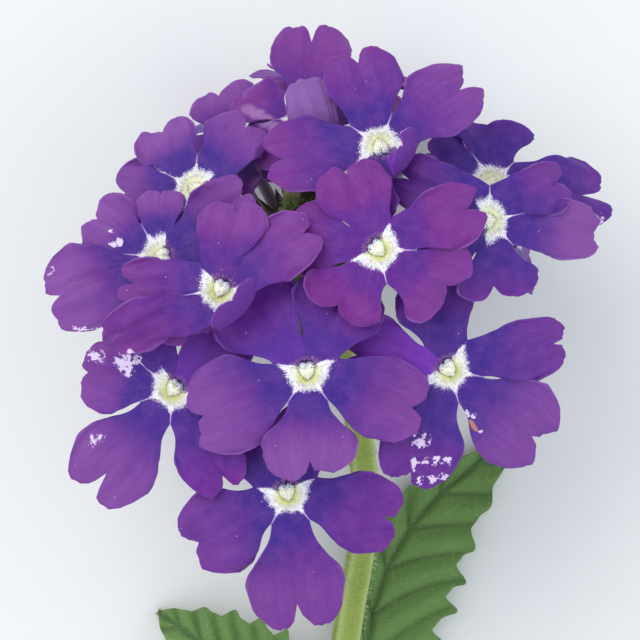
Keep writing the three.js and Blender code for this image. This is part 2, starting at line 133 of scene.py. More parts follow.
class Value:
    """What a node gives. What is worked out from values is laid out as nodes too."""

    __add__ = operator("ADD")
    __sub__ = operator("SUBTRACT")
    __mul__ = operator("MULTIPLY")
    __truediv__ = operator("DIVIDE")
    __abs__ = operator("ABSOLUTE")

    def __init__(self, nodes, socket):
        self.nodes = nodes
        self.socket = socket

    def __rsub__(self, other):
        return self.nodes.math("SUBTRACT", other, self)

    def smooth(self, start, end):
        """0 at start and 1 at end, eased between, whichever of them is larger."""
        low, high = (1.0, 0.0) if start > end else (0.0, 1.0)
        values = (self, min(start, end), max(start, end), low, high)
        return self.nodes.new("MapRange", enumerate(values), interpolation_type="SMOOTHSTEP")[0]


class Nodes:
    """Short ways to lay out the nodes of one material, with the colour painted so far."""

    def __init__(self, name):
        self.material = bpy.data.materials.new(name)
        self.material.use_nodes = True
        self.tree = self.material.node_tree
        metres = self.new("TexCoord")[3]
        # the surface's own place, in millimetres
        self.place = self.new("VectorMath", {0: metres, "Scale": 1 / MM}, operation="SCALE")[0]
        self.colour = None

    def feed(self, sockets, values):
        """Each value, by its input's name or number: linked if a node gives it, or else set."""
        for key, value in dict(values).items():
            if isinstance(value, Value):
                self.tree.links.new(value.socket, sockets[key])
            else:
                sockets[key].default_value = value

    def new(self, kind, values=(), **settings):
        node = self.tree.nodes.new("ShaderNode" + kind)
        for key, value in settings.items():
            setattr(node, key, value)
        self.feed(node.inputs, values)
        return [Value(self, socket) for socket in node.outputs]

    def math(self, operation, *values):
        return self.new("Math", enumerate(values), operation=operation)[0]

    def split(self, vector):
        return self.new("SeparateXYZ", {0: vector})

    def join(self, *parts):
        return self.new("CombineXYZ", enumerate(parts))[0]

    def attribute(self, name):
        """The three numbers that a mesh carries under a name."""
        return self.split(self.new("Attribute", attribute_name=name)[1])

    def noise(self, scale, detail=2.0, roughness=0.5, at=None):
        values = {"Vector": at or self.place, "Scale": scale, "Detail": detail, "Roughness": roughness}
        return self.new("TexNoise", values)[0]

    def cells(self, scale, feature="F1"):
        """Distance to a cell's middle or edge, and the cell's own random colour."""
        return self.new("TexVoronoi", {"Vector": self.place, "Scale": scale}, feature=feature)[:2]

    def mix(self, share, first, second):
        """The first colour at a share of 0 and the second at 1."""
        return self.new("Mix", {0: share, 6: first, 7: second}, data_type="RGBA")[2]

    def paint(self, share, colour):
        self.colour = self.mix(share, self.colour, colour)

    def curve(self, value, places):
        """A function of 0 to 1, straight between its places, with values of 0 to 1."""
        node = self.tree.nodes.new("ShaderNodeValToRGB")
        marks = node.color_ramp.elements
        while len(marks) < len(places):
            marks.new(0.5)
        for mark, (at, level) in zip(marks, places):
            mark.position = at
            mark.color = (level, level, level, 1.0)
        self.feed(node.inputs, {0: value})
        return Value(self, node.outputs[0])

    def surface(self, height=None, strength=0.0, depth=0.0, **values):
        """The finished material. Names of inputs have _ for their spaces."""
        if height:
            relief = {"Strength": strength, "Distance": depth * MM, "Height": height}
            values["Normal"] = self.new("Bump", relief)[0]
        values = {name.replace("_", " "): value for name, value in values.items()}
        values["Base Color"] = self.colour
        self.feed(self.tree.nodes["Principled BSDF"].inputs, values)
        return self.material


# ---- the petals' material ----
BLUE_VIOLET = srgb(57, 27, 128)
PURPLE = srgb(87, 25, 130)
MAGENTA = srgb(111, 27, 126)
WASHED_AND_LIT = srgb(128, 73, 149)
# painted fill light: a brighter violet laid on lobes that lie in shade under their neighbours
PAINTED_FILL_LIGHT = srgb(118, 46, 172)
VEIN = srgb(70, 26, 116)
PAINTED_RIM_HIGHLIGHT = srgb(164, 120, 200)
MOTTLED = srgb(140, 78, 160)
VELVET = srgb(164, 118, 194)
SHEEN = srgb(200, 160, 232)
REVERSE = srgb(124, 80, 152)
REVERSE_PALE = srgb(142, 102, 168)
REVERSE_DEEP = srgb(98, 46, 136)
BLEACHED = srgb(226, 210, 236)
TORN = srgb(182, 126, 92)
FADED = srgb(158, 112, 170)
STRAY = srgb(226, 214, 240)
# the eye
COMB = srgb(160, 104, 174)
SINUS_LINE = srgb(216, 196, 232)
FLEECE = srgb(253, 250, 248)
FLEECE_EDGE = srgb(240, 230, 246)
DARK_SPECK = srgb(126, 92, 150)
TINGE = srgb(240, 238, 186)
GROOVE = srgb(198, 198, 102)
PAINTED_THROAT_SHADOW = srgb(52, 32, 90)
GREENNESS = 0.85  # how green the groove is, unless a floret's row says otherwise
EYE_REACH = 3.0  # furthest that the white eye comes from the middle
# Share of that reach at each side, from straight below the open side, 0, to the open side, 1.
EYE_OUTLINE = [
    (0.0, 0.62), (0.25, 0.65), (0.45, 0.69), (0.56, 0.78), (0.63, 0.82), (0.68, 0.5), (0.72, 0.3)]


def paint_petal(m, along, lobe, tint):
    """Violet to magenta, paler towards the tips, with faint veins running along each lobe; its paleness
    per lobe is partly painted light, with a painted fill light on shaded lobes and a painted highlight at
    the edges.
    """
    across, _, edge = lobe
    hue, pale, seed = tint
    broad = m.noise(0.17)
    streak = m.noise(1.0, 3.0, 0.6, at=m.join(across * 4.0, along * 1.1, seed))
    hue = hue + (broad - 0.5) * 1.1 + (streak - 0.5) * 0.55 + (along - 0.45) * 0.55
    hue = hue - along.smooth(0.45, 0.0) * 0.28
    m.colour = m.mix(hue.smooth(0.0, 0.55), BLUE_VIOLET, PURPLE)
    m.paint(hue.smooth(0.5, 1.05), MAGENTA)
    # paler towards the tips and along streaks, by each lobe's pale value: partly real bleaching and
    # partly painted light on lobes that lie in light
    wash = along.smooth(0.02, 0.75) * (streak * 0.9 + 0.45) * ((pale + 0.1) * (broad + 0.45))
    m.paint(wash * 0.95, WASHED_AND_LIT)
    # painted fill light on lobes whose pale value is below 0, which lie in shade under their neighbours
    m.paint(pale * -1.0, PAINTED_FILL_LIGHT)
    line = m.math("FRACT", across * 4.5 + m.noise(0.6) * 1.1)
    vein = abs(line - 0.5).smooth(0.12, 0.0) * along.smooth(0.05, 0.3)
    m.paint(vein * 0.15, VEIN)
    # painted highlight along the lobes' edges
    m.paint(edge.smooth(0.22, 0.0) * along.smooth(0.25, 0.5) * 0.14, PAINTED_RIM_HIGHLIGHT)
    m.paint(m.noise(0.75, 4.0, 0.6).smooth(0.35, 0.72) * 0.2, MOTTLED)
    m.paint(m.noise(9.0, 2.0, 0.7).smooth(0.42, 0.75) * 0.09, VELVET)
    return vein, streak


def paint_eye(m, x, y, edge, front, seed):
    """The white hairy eye: measured from its middle, with its open side along +Y."""
    reach = m.math("SQRT", x * x + y * y)
    turn = m.math("ARCTAN2", x, y * -1.0)
    side = abs(turn) / math.pi
    low = side.smooth(0.82, 0.55)
    # lavender comb over the open side
    rays = m.noise(1.0, at=m.join(turn * 7.0, reach * 0.5, seed))
    comb = side.smooth(0.6, 0.7) * rays.smooth(0.4, 0.6) * reach.smooth(1.9, 1.2)
    m.paint(comb * front * 0.6, COMB)
    # thin white lines along the sinuses
    far = reach + side.smooth(0.48, 0.6) * 1.3
    line = edge.smooth(0.1, 0.02) * far.smooth(4.3, 2.6) * side.smooth(0.72, 0.6)
    m.paint(line * front * 0.8, SINUS_LINE)
    # the white, ragged and stippled at its edge, with dark specks in it
    ragged = m.noise(1.0, 3.0, 0.65, at=m.join(turn * 7.0, reach * 0.8, seed)) - 0.5
    stipple = m.noise(6.5, 1.0) - 0.5
    point = edge.smooth(0.6, 0.0) * side.smooth(0.7, 0.6)
    limit = m.curve(side, EYE_OUTLINE) * EYE_REACH + ragged * 0.8 + point * point * 0.6
    white = (limit + stipple * 1.1 - reach).smooth(-0.25, 0.4)
    fleece = m.mix(reach.smooth(1.4, 2.4), FLEECE, FLEECE_EDGE)
    m.paint(white * front, m.mix(m.cells(3.6)[0].smooth(0.12, 0.22), DARK_SPECK, fleece))
    # yellow-green in the groove round the knob
    soft = reach + (m.noise(2.4) - 0.5) * 0.7
    depth = low * front * (side.smooth(0.62, 0.15) * 0.35 + 0.65)
    m.paint(soft.smooth(2.0, 1.1) * depth * 0.7, TINGE)
    m.paint(soft.smooth(1.55, 0.8) * depth * m.attribute("groove")[0], GROOVE)
    # painted shadow in the throat's opening, between the knob and the fringe on the open side
    m.paint(reach.smooth(1.4, 1.1) * (1.0 - low) * front, PAINTED_THROAT_SHADOW)


def petal_material():
    """Velvety violet, with the white hairy eye, its green groove and the pale reverse."""
    m = Nodes("petal")
    x, y, along = m.attribute("limb")
    lobe, tint = m.attribute("lobe"), m.attribute("tint")
    under, fleck, torn = m.attribute("side")
    vein, streak = paint_petal(m, along, lobe, tint)
    reverse = m.mix(m.noise(0.8, 3.0), REVERSE, REVERSE_PALE)
    reverse = m.mix(tint[1].smooth(-0.3, -0.6), reverse, REVERSE_DEEP)
    m.paint(under * 0.8, reverse)
    paint_eye(m, x, y, lobe[1], 1.0 - under, tint[2])
    # bleached flecks, a torn brown edge, faded patches and stray specks
    blotch = (m.noise(1.7, 4.0, 0.7) + fleck * 0.34).smooth(0.66, 0.7)
    m.paint(blotch * fleck.smooth(0.02, 0.2) * 0.92, BLEACHED)
    m.paint(torn.smooth(0.15, 0.45) * 0.9, TORN)
    m.paint(torn.smooth(-0.1, -0.6) * 0.85, FADED)
    near, chance = m.cells(0.75)
    m.paint(near.smooth(0.05, 0.03) * m.split(chance)[0].smooth(0.62, 0.68) * 0.85, STRAY)
    return m.surface(
        m.noise(8.0) * 0.12 + vein * -0.14 + streak * 1.6, 0.6, 0.2, Roughness=0.55,
        Specular_IOR_Level=0.22, Sheen_Weight=0.14, Sheen_Roughness=0.4, Sheen_Tint=SHEEN,
        Subsurface_Weight=0.2, Subsurface_Radius=(0.9, 0.35, 1.0), Subsurface_Scale=0.6 * MM)


# ---- the other materials ----
def tube_material():
    """Corolla tube: pale greenish below, violet where it widens into the limb."""
    m = Nodes("tube")
    spots = m.noise(1.2, 3.0)
    m.colour = m.mix(spots, srgb(112, 66, 150), srgb(142, 98, 172))
    m.paint(m.attribute("limb")[2].smooth(0.1, 0.75), srgb(150, 142, 140))
    return m.surface(spots, 0.3, 0.05, Roughness=0.6, Sheen_Weight=0.3)


def hair_material(name, colour, roughness=0.55):
    """Fine hairs and beads: lighter and darker from one to the next."""
    m = Nodes(name)
    dark = tuple(c * 0.88 for c in colour[:3]) + (1.0,)
    m.colour = m.mix(m.noise(2.5, 1.0).smooth(0.25, 0.6), dark, colour)
    return m.surface(
        Roughness=roughness, Specular_IOR_Level=0.3, Subsurface_Weight=0.15, Subsurface_Scale=0.3 * MM)


def knob_material():
    """The hairy knob in the throat: cream, bluish and specked with dark at its open side."""
    m = Nodes("throat_knob")
    _, y, _ = m.attribute("limb")
    m.colour = m.mix(m.noise(5.0), srgb(255, 246, 214), srgb(255, 254, 238))
    m.paint(y.smooth(0.45, 0.9), srgb(212, 208, 230))
    m.paint(m.noise(7.0, 1.0).smooth(0.54, 0.62) * y.smooth(0.15, 0.5) * 0.85, srgb(56, 44, 96))
    return m.surface(
        m.noise(6.0), 0.5, 0.05, Roughness=0.5, Subsurface_Weight=0.4, Subsurface_Scale=0.4 * MM)


STEM_SKIN, CALYX_SKIN, DRY_SKIN, CUT_FACE = 0.0, 1.0, 2.0, 3.0  # kinds of skin on the stem's piece


def stem_material():
    """Light yellow-green, paler on the ridges, flushed purple near the head."""
    m = Nodes("stem")
    along, ridge, kind = m.attribute("stalk")
    patch = m.noise(0.35, 3.0)
    fine = m.noise(3.5, 3.0)
    m.colour = m.mix(patch, srgb(128, 148, 58), srgb(164, 184, 86))
    m.paint(ridge * 0.6, srgb(196, 206, 138))
    m.paint(along.smooth(0.72, 1.0) * patch.smooth(0.45, 0.65) * 0.5, srgb(88, 60, 72))
    calyx = m.mix(fine, srgb(96, 124, 52), srgb(136, 158, 80))
    calyx = m.mix(along.smooth(0.75, 1.0) * 0.75, calyx, srgb(96, 54, 84))
    dry = m.mix(along.smooth(0.55, 0.95), srgb(110, 132, 62), srgb(172, 148, 112))
    pith = m.mix(fine, srgb(196, 204, 150), srgb(150, 168, 90))
    for skin, colour in ((CALYX_SKIN, calyx), (DRY_SKIN, dry), (CUT_FACE, pith)):
        m.paint(kind.smooth(skin - 0.6, skin - 0.4), colour)
    return m.surface(
        fine + patch * 0.5, 0.5, 0.08, Roughness=0.6, Specular_IOR_Level=0.35,
        Subsurface_Weight=0.1, Subsurface_Radius=(0.5, 0.8, 0.2), Subsurface_Scale=0.5 * MM)


def leaf_material():
    """Mid-green, darker in its quilted fields, with painted shade in its sunken veins and a paler back.
    """
    m = Nodes("leaf")
    fine = m.noise(2.6, 4.0, 0.6)
    net = m.cells(1.5, "DISTANCE_TO_EDGE")[0]
    m.colour = m.mix(m.noise(0.25, 3.0), srgb(72, 110, 46), srgb(104, 142, 68))
    m.paint(fine * 0.4, srgb(120, 154, 86))
    # painted shade in the sunken veins
    m.paint(m.attribute("blade")[2] * 0.7, srgb(46, 76, 32))
    m.paint(m.attribute("side")[0] * 0.75, srgb(146, 172, 116))
    m.paint(net.smooth(0.06, 0.0) * 0.25, srgb(150, 178, 104))
    return m.surface(
        fine * 0.4 - net.smooth(0.1, 0.0) * 0.6, 0.55, 0.1, Roughness=0.6,
        Specular_IOR_Level=0.35, Sheen_Weight=0.2)


# ---- shaping ----
X_WAY = np.array([1.0, 0.0, 0.0])
NO_HAIR = np.array([0.31, 0.52, 0.79])  # a way that no hair takes, to find ways square to a hair


def unit(v):
    v = np.asarray(v, float)
    return v / np.maximum(np.linalg.norm(v, axis=-1, keepdims=True), 1e-9)


def ease(x, start, end):
    """0 at start and 1 at end, eased between."""
    t = np.clip((np.asarray(x, float) - start) / (end - start), 0, 1)
    return t * t * (3 - 2 * t)


def stack(*parts):
    """Numbers and arrays, spread to one shape, as the last axis of one array."""
    return np.stack(np.broadcast_arrays(*parts), -1)


def compass(count):
    """Evenly spread directions."""
    return np.arange(count) * 2 * math.pi / count


def wheel(angle, side, other):
    """Ways at each angle from one side towards another that is square to it."""
    return np.cos(angle)[:, None] * side + np.sin(angle)[:, None] * other


def level(way):
    """The way square to another that comes closest to X."""
    return unit(X_WAY - way * way[0])


def spin(points, angle):
    """Points turned about Z."""
    c, s = math.cos(angle), math.sin(angle)
    x, y, z = points[..., 0], points[..., 1], points[..., 2]
    return stack(x * c - y * s, x * s + y * c, z)


def grid_faces(rows, columns, closed=False):
    """Four-sided faces of a grid of points, row after row."""
    used = columns if closed else columns - 1
    i, j = np.meshgrid(np.arange(rows - 1), np.arange(used), indexing="ij")
    k = (j + 1) % columns
    row, after = i * columns, (i + 1) * columns
    return stack(row + j, row + k, after + k, after + j).reshape(-1, 4)


def tube_between(centres, radii, sides, side):
    """Rings of points round a line of centres, with a frame that doesn't twist."""
    ahead = unit(np.gradient(centres, axis=0))
    rings = []
    for centre, along, radius in zip(centres, ahead, radii):
        side = unit(side - along * (side @ along))
        ring = wheel(compass(sides), side, np.cross(along, side))
        rings.append(centre + ring * np.reshape(radius, (-1, 1)))
    return np.array(rings)


def capped(rings):
    """Points and faces of a closed tube through its rings."""
    rows, sides = rings.shape[:2]
    points = np.vstack([rings.reshape(-1, 3), rings[0].mean(0), rings[-1].mean(0)])
    n = rows * sides
    i = np.arange(sides)
    j = (i + 1) % sides
    ends = np.vstack([stack(n, j, i), stack(n + 1, n - sides + i, n - sides + j)])
    return points, [grid_faces(rows, sides, closed=True), ends]


def bezier(p0, p1, p2, p3, t):
    t = t[:, None]
    return (1 - t) ** 3 * p0 + 3 * (1 - t) ** 2 * t * p1 + 3 * (1 - t) * t * t * p2 + t ** 3 * p3


def bead_shape():
    """A small faceted ball: an icosahedron with each of its faces in four."""
    g = (1 + math.sqrt(5)) / 2
    corners = unit([(x, y * g, 0) for y in (1, -1) for x in (-1, 1)]
                   + [(0, y, z * g) for z in (1, -1) for y in (-1, 1)]
                   + [(x * g, 0, z) for x in (1, -1) for z in (-1, 1)])
    near = np.linalg.norm(corners[:, None] - corners[None], axis=2) < 1.2
    points = list(corners)
    middles = {}

    def between(a, b):
        key = (min(a, b), max(a, b))
        if key not in middles:
            middles[key] = len(points)
            points.append(unit(points[a] + points[b]))
        return middles[key]

    faces = []
    for a, b, c in combinations(range(len(corners)), 3):
        if near[a, b] and near[b, c] and near[a, c]:
            if np.cross(points[b] - points[a], points[c] - points[a]) @ points[a] < 0:
                b, c = c, b
            ab, bc, ca = between(a, b), between(b, c), between(c, a)
            faces += [(a, ab, ca), (ab, b, bc), (ca, bc, c), (ab, bc, ca)]
    return np.array(points), np.array(faces)


BEAD_POINTS, BEAD_FACES = bead_shape()


class Pile:
    """Points and faces gathered from several parts, to become one mesh."""

    def __init__(self, draw):
        self.draw = draw
        self.points = []
        self.faces = []
        self.slots = []
        self.marks = {}
        self.count = 0

    def add(self, points, faces, slot, **marks):
        """Groups of faces, and by name the three numbers that a material reads at each point.

        Parts that aren't given a name's numbers get zeros.
        """
        points = points.reshape(-1, 3)
        for name in {**self.marks, **marks}:
            kept = self.marks.setdefault(name, [np.zeros((self.count, 3))])
            kept.append(marks.get(name, np.zeros((len(points), 3))))
        self.points.append(points)
        for group in faces:
            self.faces.append(group + self.count)
            self.slots.append(np.full(len(group), slot))
        self.count += len(points)

    def add_hairs(self, slot, roots, ways, size, bend=(0.0, 0.0, 0.0)):
        """Three-sided bent hairs: each from its root, along its way, ending in a point."""
        shortest, longest, thick = size
        lengths = self.draw.uniform(shortest, longest, (len(roots), 1))
        ways, bend = unit(ways), np.array(bend)
        side = unit(np.cross(ways, NO_HAIR))
        other = np.cross(ways, side)
        middle = roots + ways * lengths * 0.55 + bend * lengths * 0.2
        tip = roots + ways * lengths + bend * lengths * 0.75
        points = []
        for at, width in ((roots, thick), (middle, thick * 0.75)):
            for turn in (0.0, 2.1, 4.2):
                points.append(at + (side * math.cos(turn) + other * math.sin(turn)) * width)
        base = np.arange(len(roots))[:, None] * 7
        pairs = ((0, 1), (1, 2), (2, 0))
        sides = np.vstack([base + (a, b, b + 3, a + 3) for a, b in pairs])
        tips = np.vstack([base + (a + 3, b + 3, 6) for a, b in pairs])
        self.add(np.stack([*points, tip], 1), [sides, tips, base + (0, 2, 1)], slot)

    def add_beads(self, slot, centres, radii):
        made = centres[:, None] + BEAD_POINTS * radii[:, None, None]
        faces = BEAD_FACES + np.arange(len(centres))[:, None, None] * len(BEAD_POINTS)
        self.add(made, [faces.reshape(-1, 3)], slot)

    def make(self, name, materials, node):
        """One piece of all that was gathered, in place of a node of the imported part."""
        mesh = bpy.data.meshes.new(name)
        points = (np.vstack(self.points) - MIDDLE) * MM
        faces = [face for group in self.faces for face in group.tolist()]
        mesh.from_pydata(points, [], faces, shade_flat=False)
        mesh.polygons.foreach_set("material_index", np.concatenate(self.slots))
        for key, parts in self.marks.items():
            layer = mesh.attributes.new(key, "FLOAT_VECTOR", "POINT")
            layer.data.foreach_set("vector", np.vstack(parts).ravel())
        mesh.validate()
        for material in materials:
            mesh.materials.append(material)
        piece = add_object(name, mesh)
        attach(piece, "root")
        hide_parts(node)


# ---- the form of a floret ----
RING = 3.5  # distance from the eye at which the five lobes part
THROAT = 1.15  # radius at which the limb turns down into the throat
NOTCH = 0.17  # how deep the notch at a lobe's tip is, as a share of its length
SHOULDER = 0.5  # where across the lobe it reaches furthest
SIDE_DROP = 0.38  # how much less far it reaches at its sides
BLADE = 0.32  # thickness inside the lobe
RIM = 0.14  # thickness at its edge
RIM_WIDE = 0.9  # how far from the edge the blade has its full thickness
ROOT_BLEND = 0.36  # share of the way out over which it grows out of the round ring
FULL = 0.44  # share of the way out at which a lobe without a neck is at its widest
NECK = 0.5  # 0 for a lobe that is full from its base to 1 for one with a narrow neck
NECK_SHIFT = 0.1  # how much further out a necked lobe is at its widest
NARROWING = 0.14  # how much of its width it loses again towards its tip
LAP = 0.75  # how far a lobe reaches over or under its neighbour
LAP_GROWN = 2.5  # how far beyond the ring it does so in full
LAP_LIFT = 0.2  # how far its side rises over its neighbour, or sinks under it
LIFT_GROWS, LIFT_FADES = (0.0, 1.6), (6.5, 3.5)  # distances with none and with all of that
WAVES_GROWN = 3.0  # how far beyond the ring a lobe's waves have their full height
RING_BULGE = 0.2  # how much further out the ring lies at a lobe's middle
CUP = 0.06  # how much a lobe's sides turn up, as a share of its half width
UPRIGHT = 0.8  # rise at its base, in radians, of a lobe that stands up from the limb
LOBE_ROWS = 26
LOBE_COLUMNS = 25
DISC_RADII = [3.2, 2.9, 2.6, 2.3, 2.0, 1.75, 1.5, 1.3, THROAT, 1.05, 0.92, 0.7, 0.4]
DISC_HEIGHTS = [0.0, 0.01, 0.02, 0.02, 0.02, 0.01, -0.01, -0.05, -0.1, -0.13, -0.16, -0.18, -0.19]
DISC_BOTTOM = -0.24
PALE = (0.3,) * 5  # how washed out the lobes are, partly real bleaching and partly painted light, unless a floret's row says otherwise

# eye is the middle of the throat, lean the way the floret faces and seat how far up the rachis
# its calyx sits. crown is the direction of the eye's open side. hue goes from blue violet, 0,
# to magenta, 1, green says how green the groove is and pale how washed out each lobe is: partly
# real bleaching and partly painted light, higher on lobes in light and lower on those shaded by
# their neighbours. Below 0 it lays a painted fill light on a lobe in shade, and further below it
# also deepens the lobe's reverse.
# Each lobe: direction, length from the eye, half width, rise at its base and at its tip.
FLORETS = [
    dict(eye=(-1.3, -5.2, 38.2), lean=(0, -0.05), seat=0.72, crown=97, hue=0.5,
         pale=(-0.1, -0.3, 0.8, 1, 0.5), lobes=[
        (65, 10.5, 4.7, -4, -22), (130, 11.2, 4.8, -9, -17),
        (203, 12.4, 4.9, -2, -10, dict(skew=0.05, neck=0.2, notch=-0.05)),
        (272, 10.5, 4.8, 2, -6, dict(skew=-0.09, neck=0.8, notch=0.1)),
        (341, 12.3, 4.2, 0, -8, dict(skew=-0.02, neck=0.2))]),
    dict(eye=(-14.8, -7, 35), lean=(-0.2, -0.08), seat=0.3, crown=50, hue=0.45,
         pale=(-0.6, -0.1, 0.5, 0.9, -0.1), lobes=[
        (48, 9.5, 4, -4, -6), (115, 9, 2.9, -6, -10),
        (170, 9.6, 3.7, 0, -8, dict(neck=0.2, notch=-0.05)),
        (231, 14, 4.5, 0, -8, dict(neck=0.9, notch=0.1)), (300, 11.4, 3.6, 4, 0, dict(neck=0.9))]),
    dict(eye=(-3.3, -17.5, 34.2), lean=(0, -0.1), seat=0.1, crown=100, hue=0.5,
         pale=(0, 0, 0.35, 0.45, 0.05), lobes=[
        (72, 9, 3.4, -4, -10), (128, 9.5, 3.4, -4, -10), (210, 11.4, 4.6, -5, -12, dict(notch=-0.08)),
        (275, 13.8, 5, 0, -6, dict(neck=1, notch=0.09)), (346, 11.7, 4.2, 0, -4, dict(notch=0.04))]),
    dict(eye=(13, -5, 35.2), lean=(0.2, -0.05), seat=0.25, crown=130, hue=0.25,
         pale=(0.2, 0, -0.9, 0, 0.7), lobes=[
        (13, 12.4, 3.2, 0, -2, dict(neck=0.7, notch=0.03, skew=0.05)), (103, 9.5, 4.1, -4, -10),
        (171, 11, 4.3, -8, -16), (250, 12.2, 4.3, 0, -8, dict(neck=0.8)), (322, 12.7, 4.9, 0, -8)]),
    dict(eye=(5.8, 7, 40.4), lean=(0.06, 0.08), seat=0.9, crown=135, hue=0.95,
         pale=(0.15, 0.1, 0, 0, 0.3), lobes=[
        (25, 11.2, 3.3, -2, -8, dict(neck=0.9)), (112, 9.3, 3.9, -4, -14, dict(neck=0.3)),
        (170, 9.2, 3.8, -10, -22), (234, 7.8, 4.3, -6, -18, dict(skew=-0.08)),
        (333, 8.8, 4.8, -6, -16, dict(skew=0.18))]),
    dict(eye=(-9.9, 3, 41), lean=(-0.12, 0.12), seat=0.85, crown=65, hue=0.8,
         pale=(0.4, 0.4, 0.3, 0.2, -0.8), lobes=[
        (34, 11.2, 3.2, 0, -2), (79, 8.9, 3.5, 8, -6, dict(skew=-0.1, notch=0.03)),
        (174, 10.2, 2.6, -2, -12, dict(neck=0.2)), (202, 12.4, 2.9, -4, -12, dict(roll=-36, neck=0.2)),
        (318, 7.3, 3.3, 92, 120, dict(fold=2.9, neck=2.4))]),
    dict(eye=(-12.7, 13.3, 33.8), lean=(-0.35, 0.35), seat=0.5, crown=320, hue=0.5, green=0.15,
         pale=(0.6, 1.3, 0.8, 0.2, 0.2), lobes=[
        (50, 9, 3.6, -4, -10), (119, 8.3, 3.3, 0, -6, dict(neck=0.8, skew=0.08, notch=-0.05)),
        (176, 8.5, 3.5, 0, -8), (236, 6, 2.6, -12, -24), (310, 7, 3, -8, -16)]),
    dict(eye=(-16, 6.3, 37.2), lean=(-0.3, 0.1), seat=0.55, crown=10, hue=0.55, green=0.25,
         pale=(0.6, 0.8, 1, 0.9, 0.2), lobes=[
        (36, 11.2, 3, -1, -3), (92, 7, 2.7, -4, -14), (149, 8.7, 3.6, -2, -12),
        (198, 12.8, 4.6, -2, -10, dict(neck=0.3, notch=0.04)), (290, 9, 3.6, -12, -20)]),
    dict(eye=(6, 17.5, 36.8), lean=(0.05, 0.4), seat=0.8, crown=290, hue=0.6, green=0.4,
         pale=(0.6, 0.2, 0.1, 0, -0.8), lobes=[
        (38, 11.8, 3.9, 6, -2), (103, 10.8, 4.1, 4, -6), (188, 11.4, 4.1, -2, -12, dict(neck=0.3)),
        (255, 8, 3.4, -14, -24), (328, 7.1, 2.4, 89, 128, dict(skew=0.15, fold=3.1, neck=2.4))]),
    dict(eye=(17, 10, 36), lean=(0.4, 0.05), seat=0.5, crown=195, hue=0.3, green=0.35,
         pale=(0.3, 0, 0, 0, 1.3), lobes=[
        (28, 9.4, 2.8, 2, -6, dict(notch=-0.08)), (151, 11, 3, -22, -34), (215, 8, 3.2, -12, -20),
        (277, 7.9, 4.8, -2, -12, dict(notch=0.06)), (356, 12.4, 3.1, -2, -6, dict(notch=-0.1))]),
    dict(eye=(17.5, 13.9, 31), lean=(0.35, 0.4), seat=0.35, crown=255, hue=0.1, green=0.1,
         pale=(0.1, 0, 0, 0, 0), lobes=[
        (2, 12.9, 4, 0, -8, dict(notch=0.1, skew=-0.05)), (94, 6.8, 4.9, 0, -6, dict(notch=-0.05)),
        (158, 7.6, 3.3, -4, -10), (206, 5, 1.9, -26, -32), (285, 7, 2.3, -16, -24)]),
    dict(eye=(-1.2, 20.6, 31), lean=(-0.05, 0.8), seat=0.6, crown=270, hue=0.9,
         pale=(0.2, 0.4, 0.2, 0.2, 0.9), lobes=[
        (28, 10, 3.8, -2, -10), (88, 12.4, 4.2, 2, -2, dict(notch=0.14)), (155, 8, 3.2, 0, -10),
        (214, 7.5, 3, -14, -20), (286, 10.3, 2.5, 108, 184, dict(notch=-0.14))]),
    dict(eye=(-8, 18.4, 27), lean=(-0.3, 0.7), seat=0.45, crown=290, hue=0.7,
         pale=(0.9, 0.9, 0.7, 0.4, 0.4), lobes=[
        (44, 8.2, 3.2, -4, -10), (112, 7.6, 3.6, 0, -8), (195, 7.6, 3.6, -2, -8),
        (262, 6.6, 3, -4, -10), (325, 6.6, 2.8, -12, -18)]),
    dict(eye=(-11.4, 20.2, 11.63), lean=(-2.4, 5), seat=0.15, crown=90, hue=0.5, lobes=[
        (20, 8.6, 3.8, -4, -14), (92, 11.6, 4.3, 0, -8), (164, 9.6, 4.2, 0, -10), (236, 12, 4.2, 0, -6),
        (308, 12, 4.2, 0, -6)]),
    dict(eye=(10.8, 21.6, 11.68), lean=(1.8, 5), seat=0.2, crown=90, hue=0.45, lobes=[
        (20, 10.8, 4.1, -2, -12), (92, 11.6, 4.3, 0, -8), (164, 8.6, 4, -4, -14), (236, 12, 4.2, 0, -6),
        (308, 11.3, 3.9, 0, -6)]),
    dict(eye=(0.6, 25.7, 15), lean=(0.3, 5), seat=0.35, crown=90, hue=0.6, lobes=[
        (-14, 9.6, 3.9, 0, 0), (58, 8.4, 3.6, 0, 0), (126, 7.3, 3.2, 0, 0), (196, 7.8, 3.6, 0, 0),
        (270, 10.2, 3.8, 0, -4)]),
    dict(eye=(-20.4, 4.8, 21.6), lean=(-5, 0.4), seat=0.2, crown=90, hue=0.5, lobes=[
        (18, 9.6, 3.8, 0, -8), (90, 9.4, 3.8, 0, -6), (162, 9.6, 3.8, 0, -8), (234, 10.4, 4.1, 0, -6),
        (306, 10.4, 4.1, 0, -6)]),
    dict(eye=(20.4, 9.3, 20.5), lean=(5, 0.8), seat=0.3, crown=90, hue=0.45, lobes=[
        (18, 8.8, 3.6, 0, -8), (90, 8.3, 3.3, 0, -6), (162, 8.6, 3.3, 0, -8), (234, 9.2, 3.4, 0, -6),
        (306, 6.6, 3.6, 0, -6)]),
]


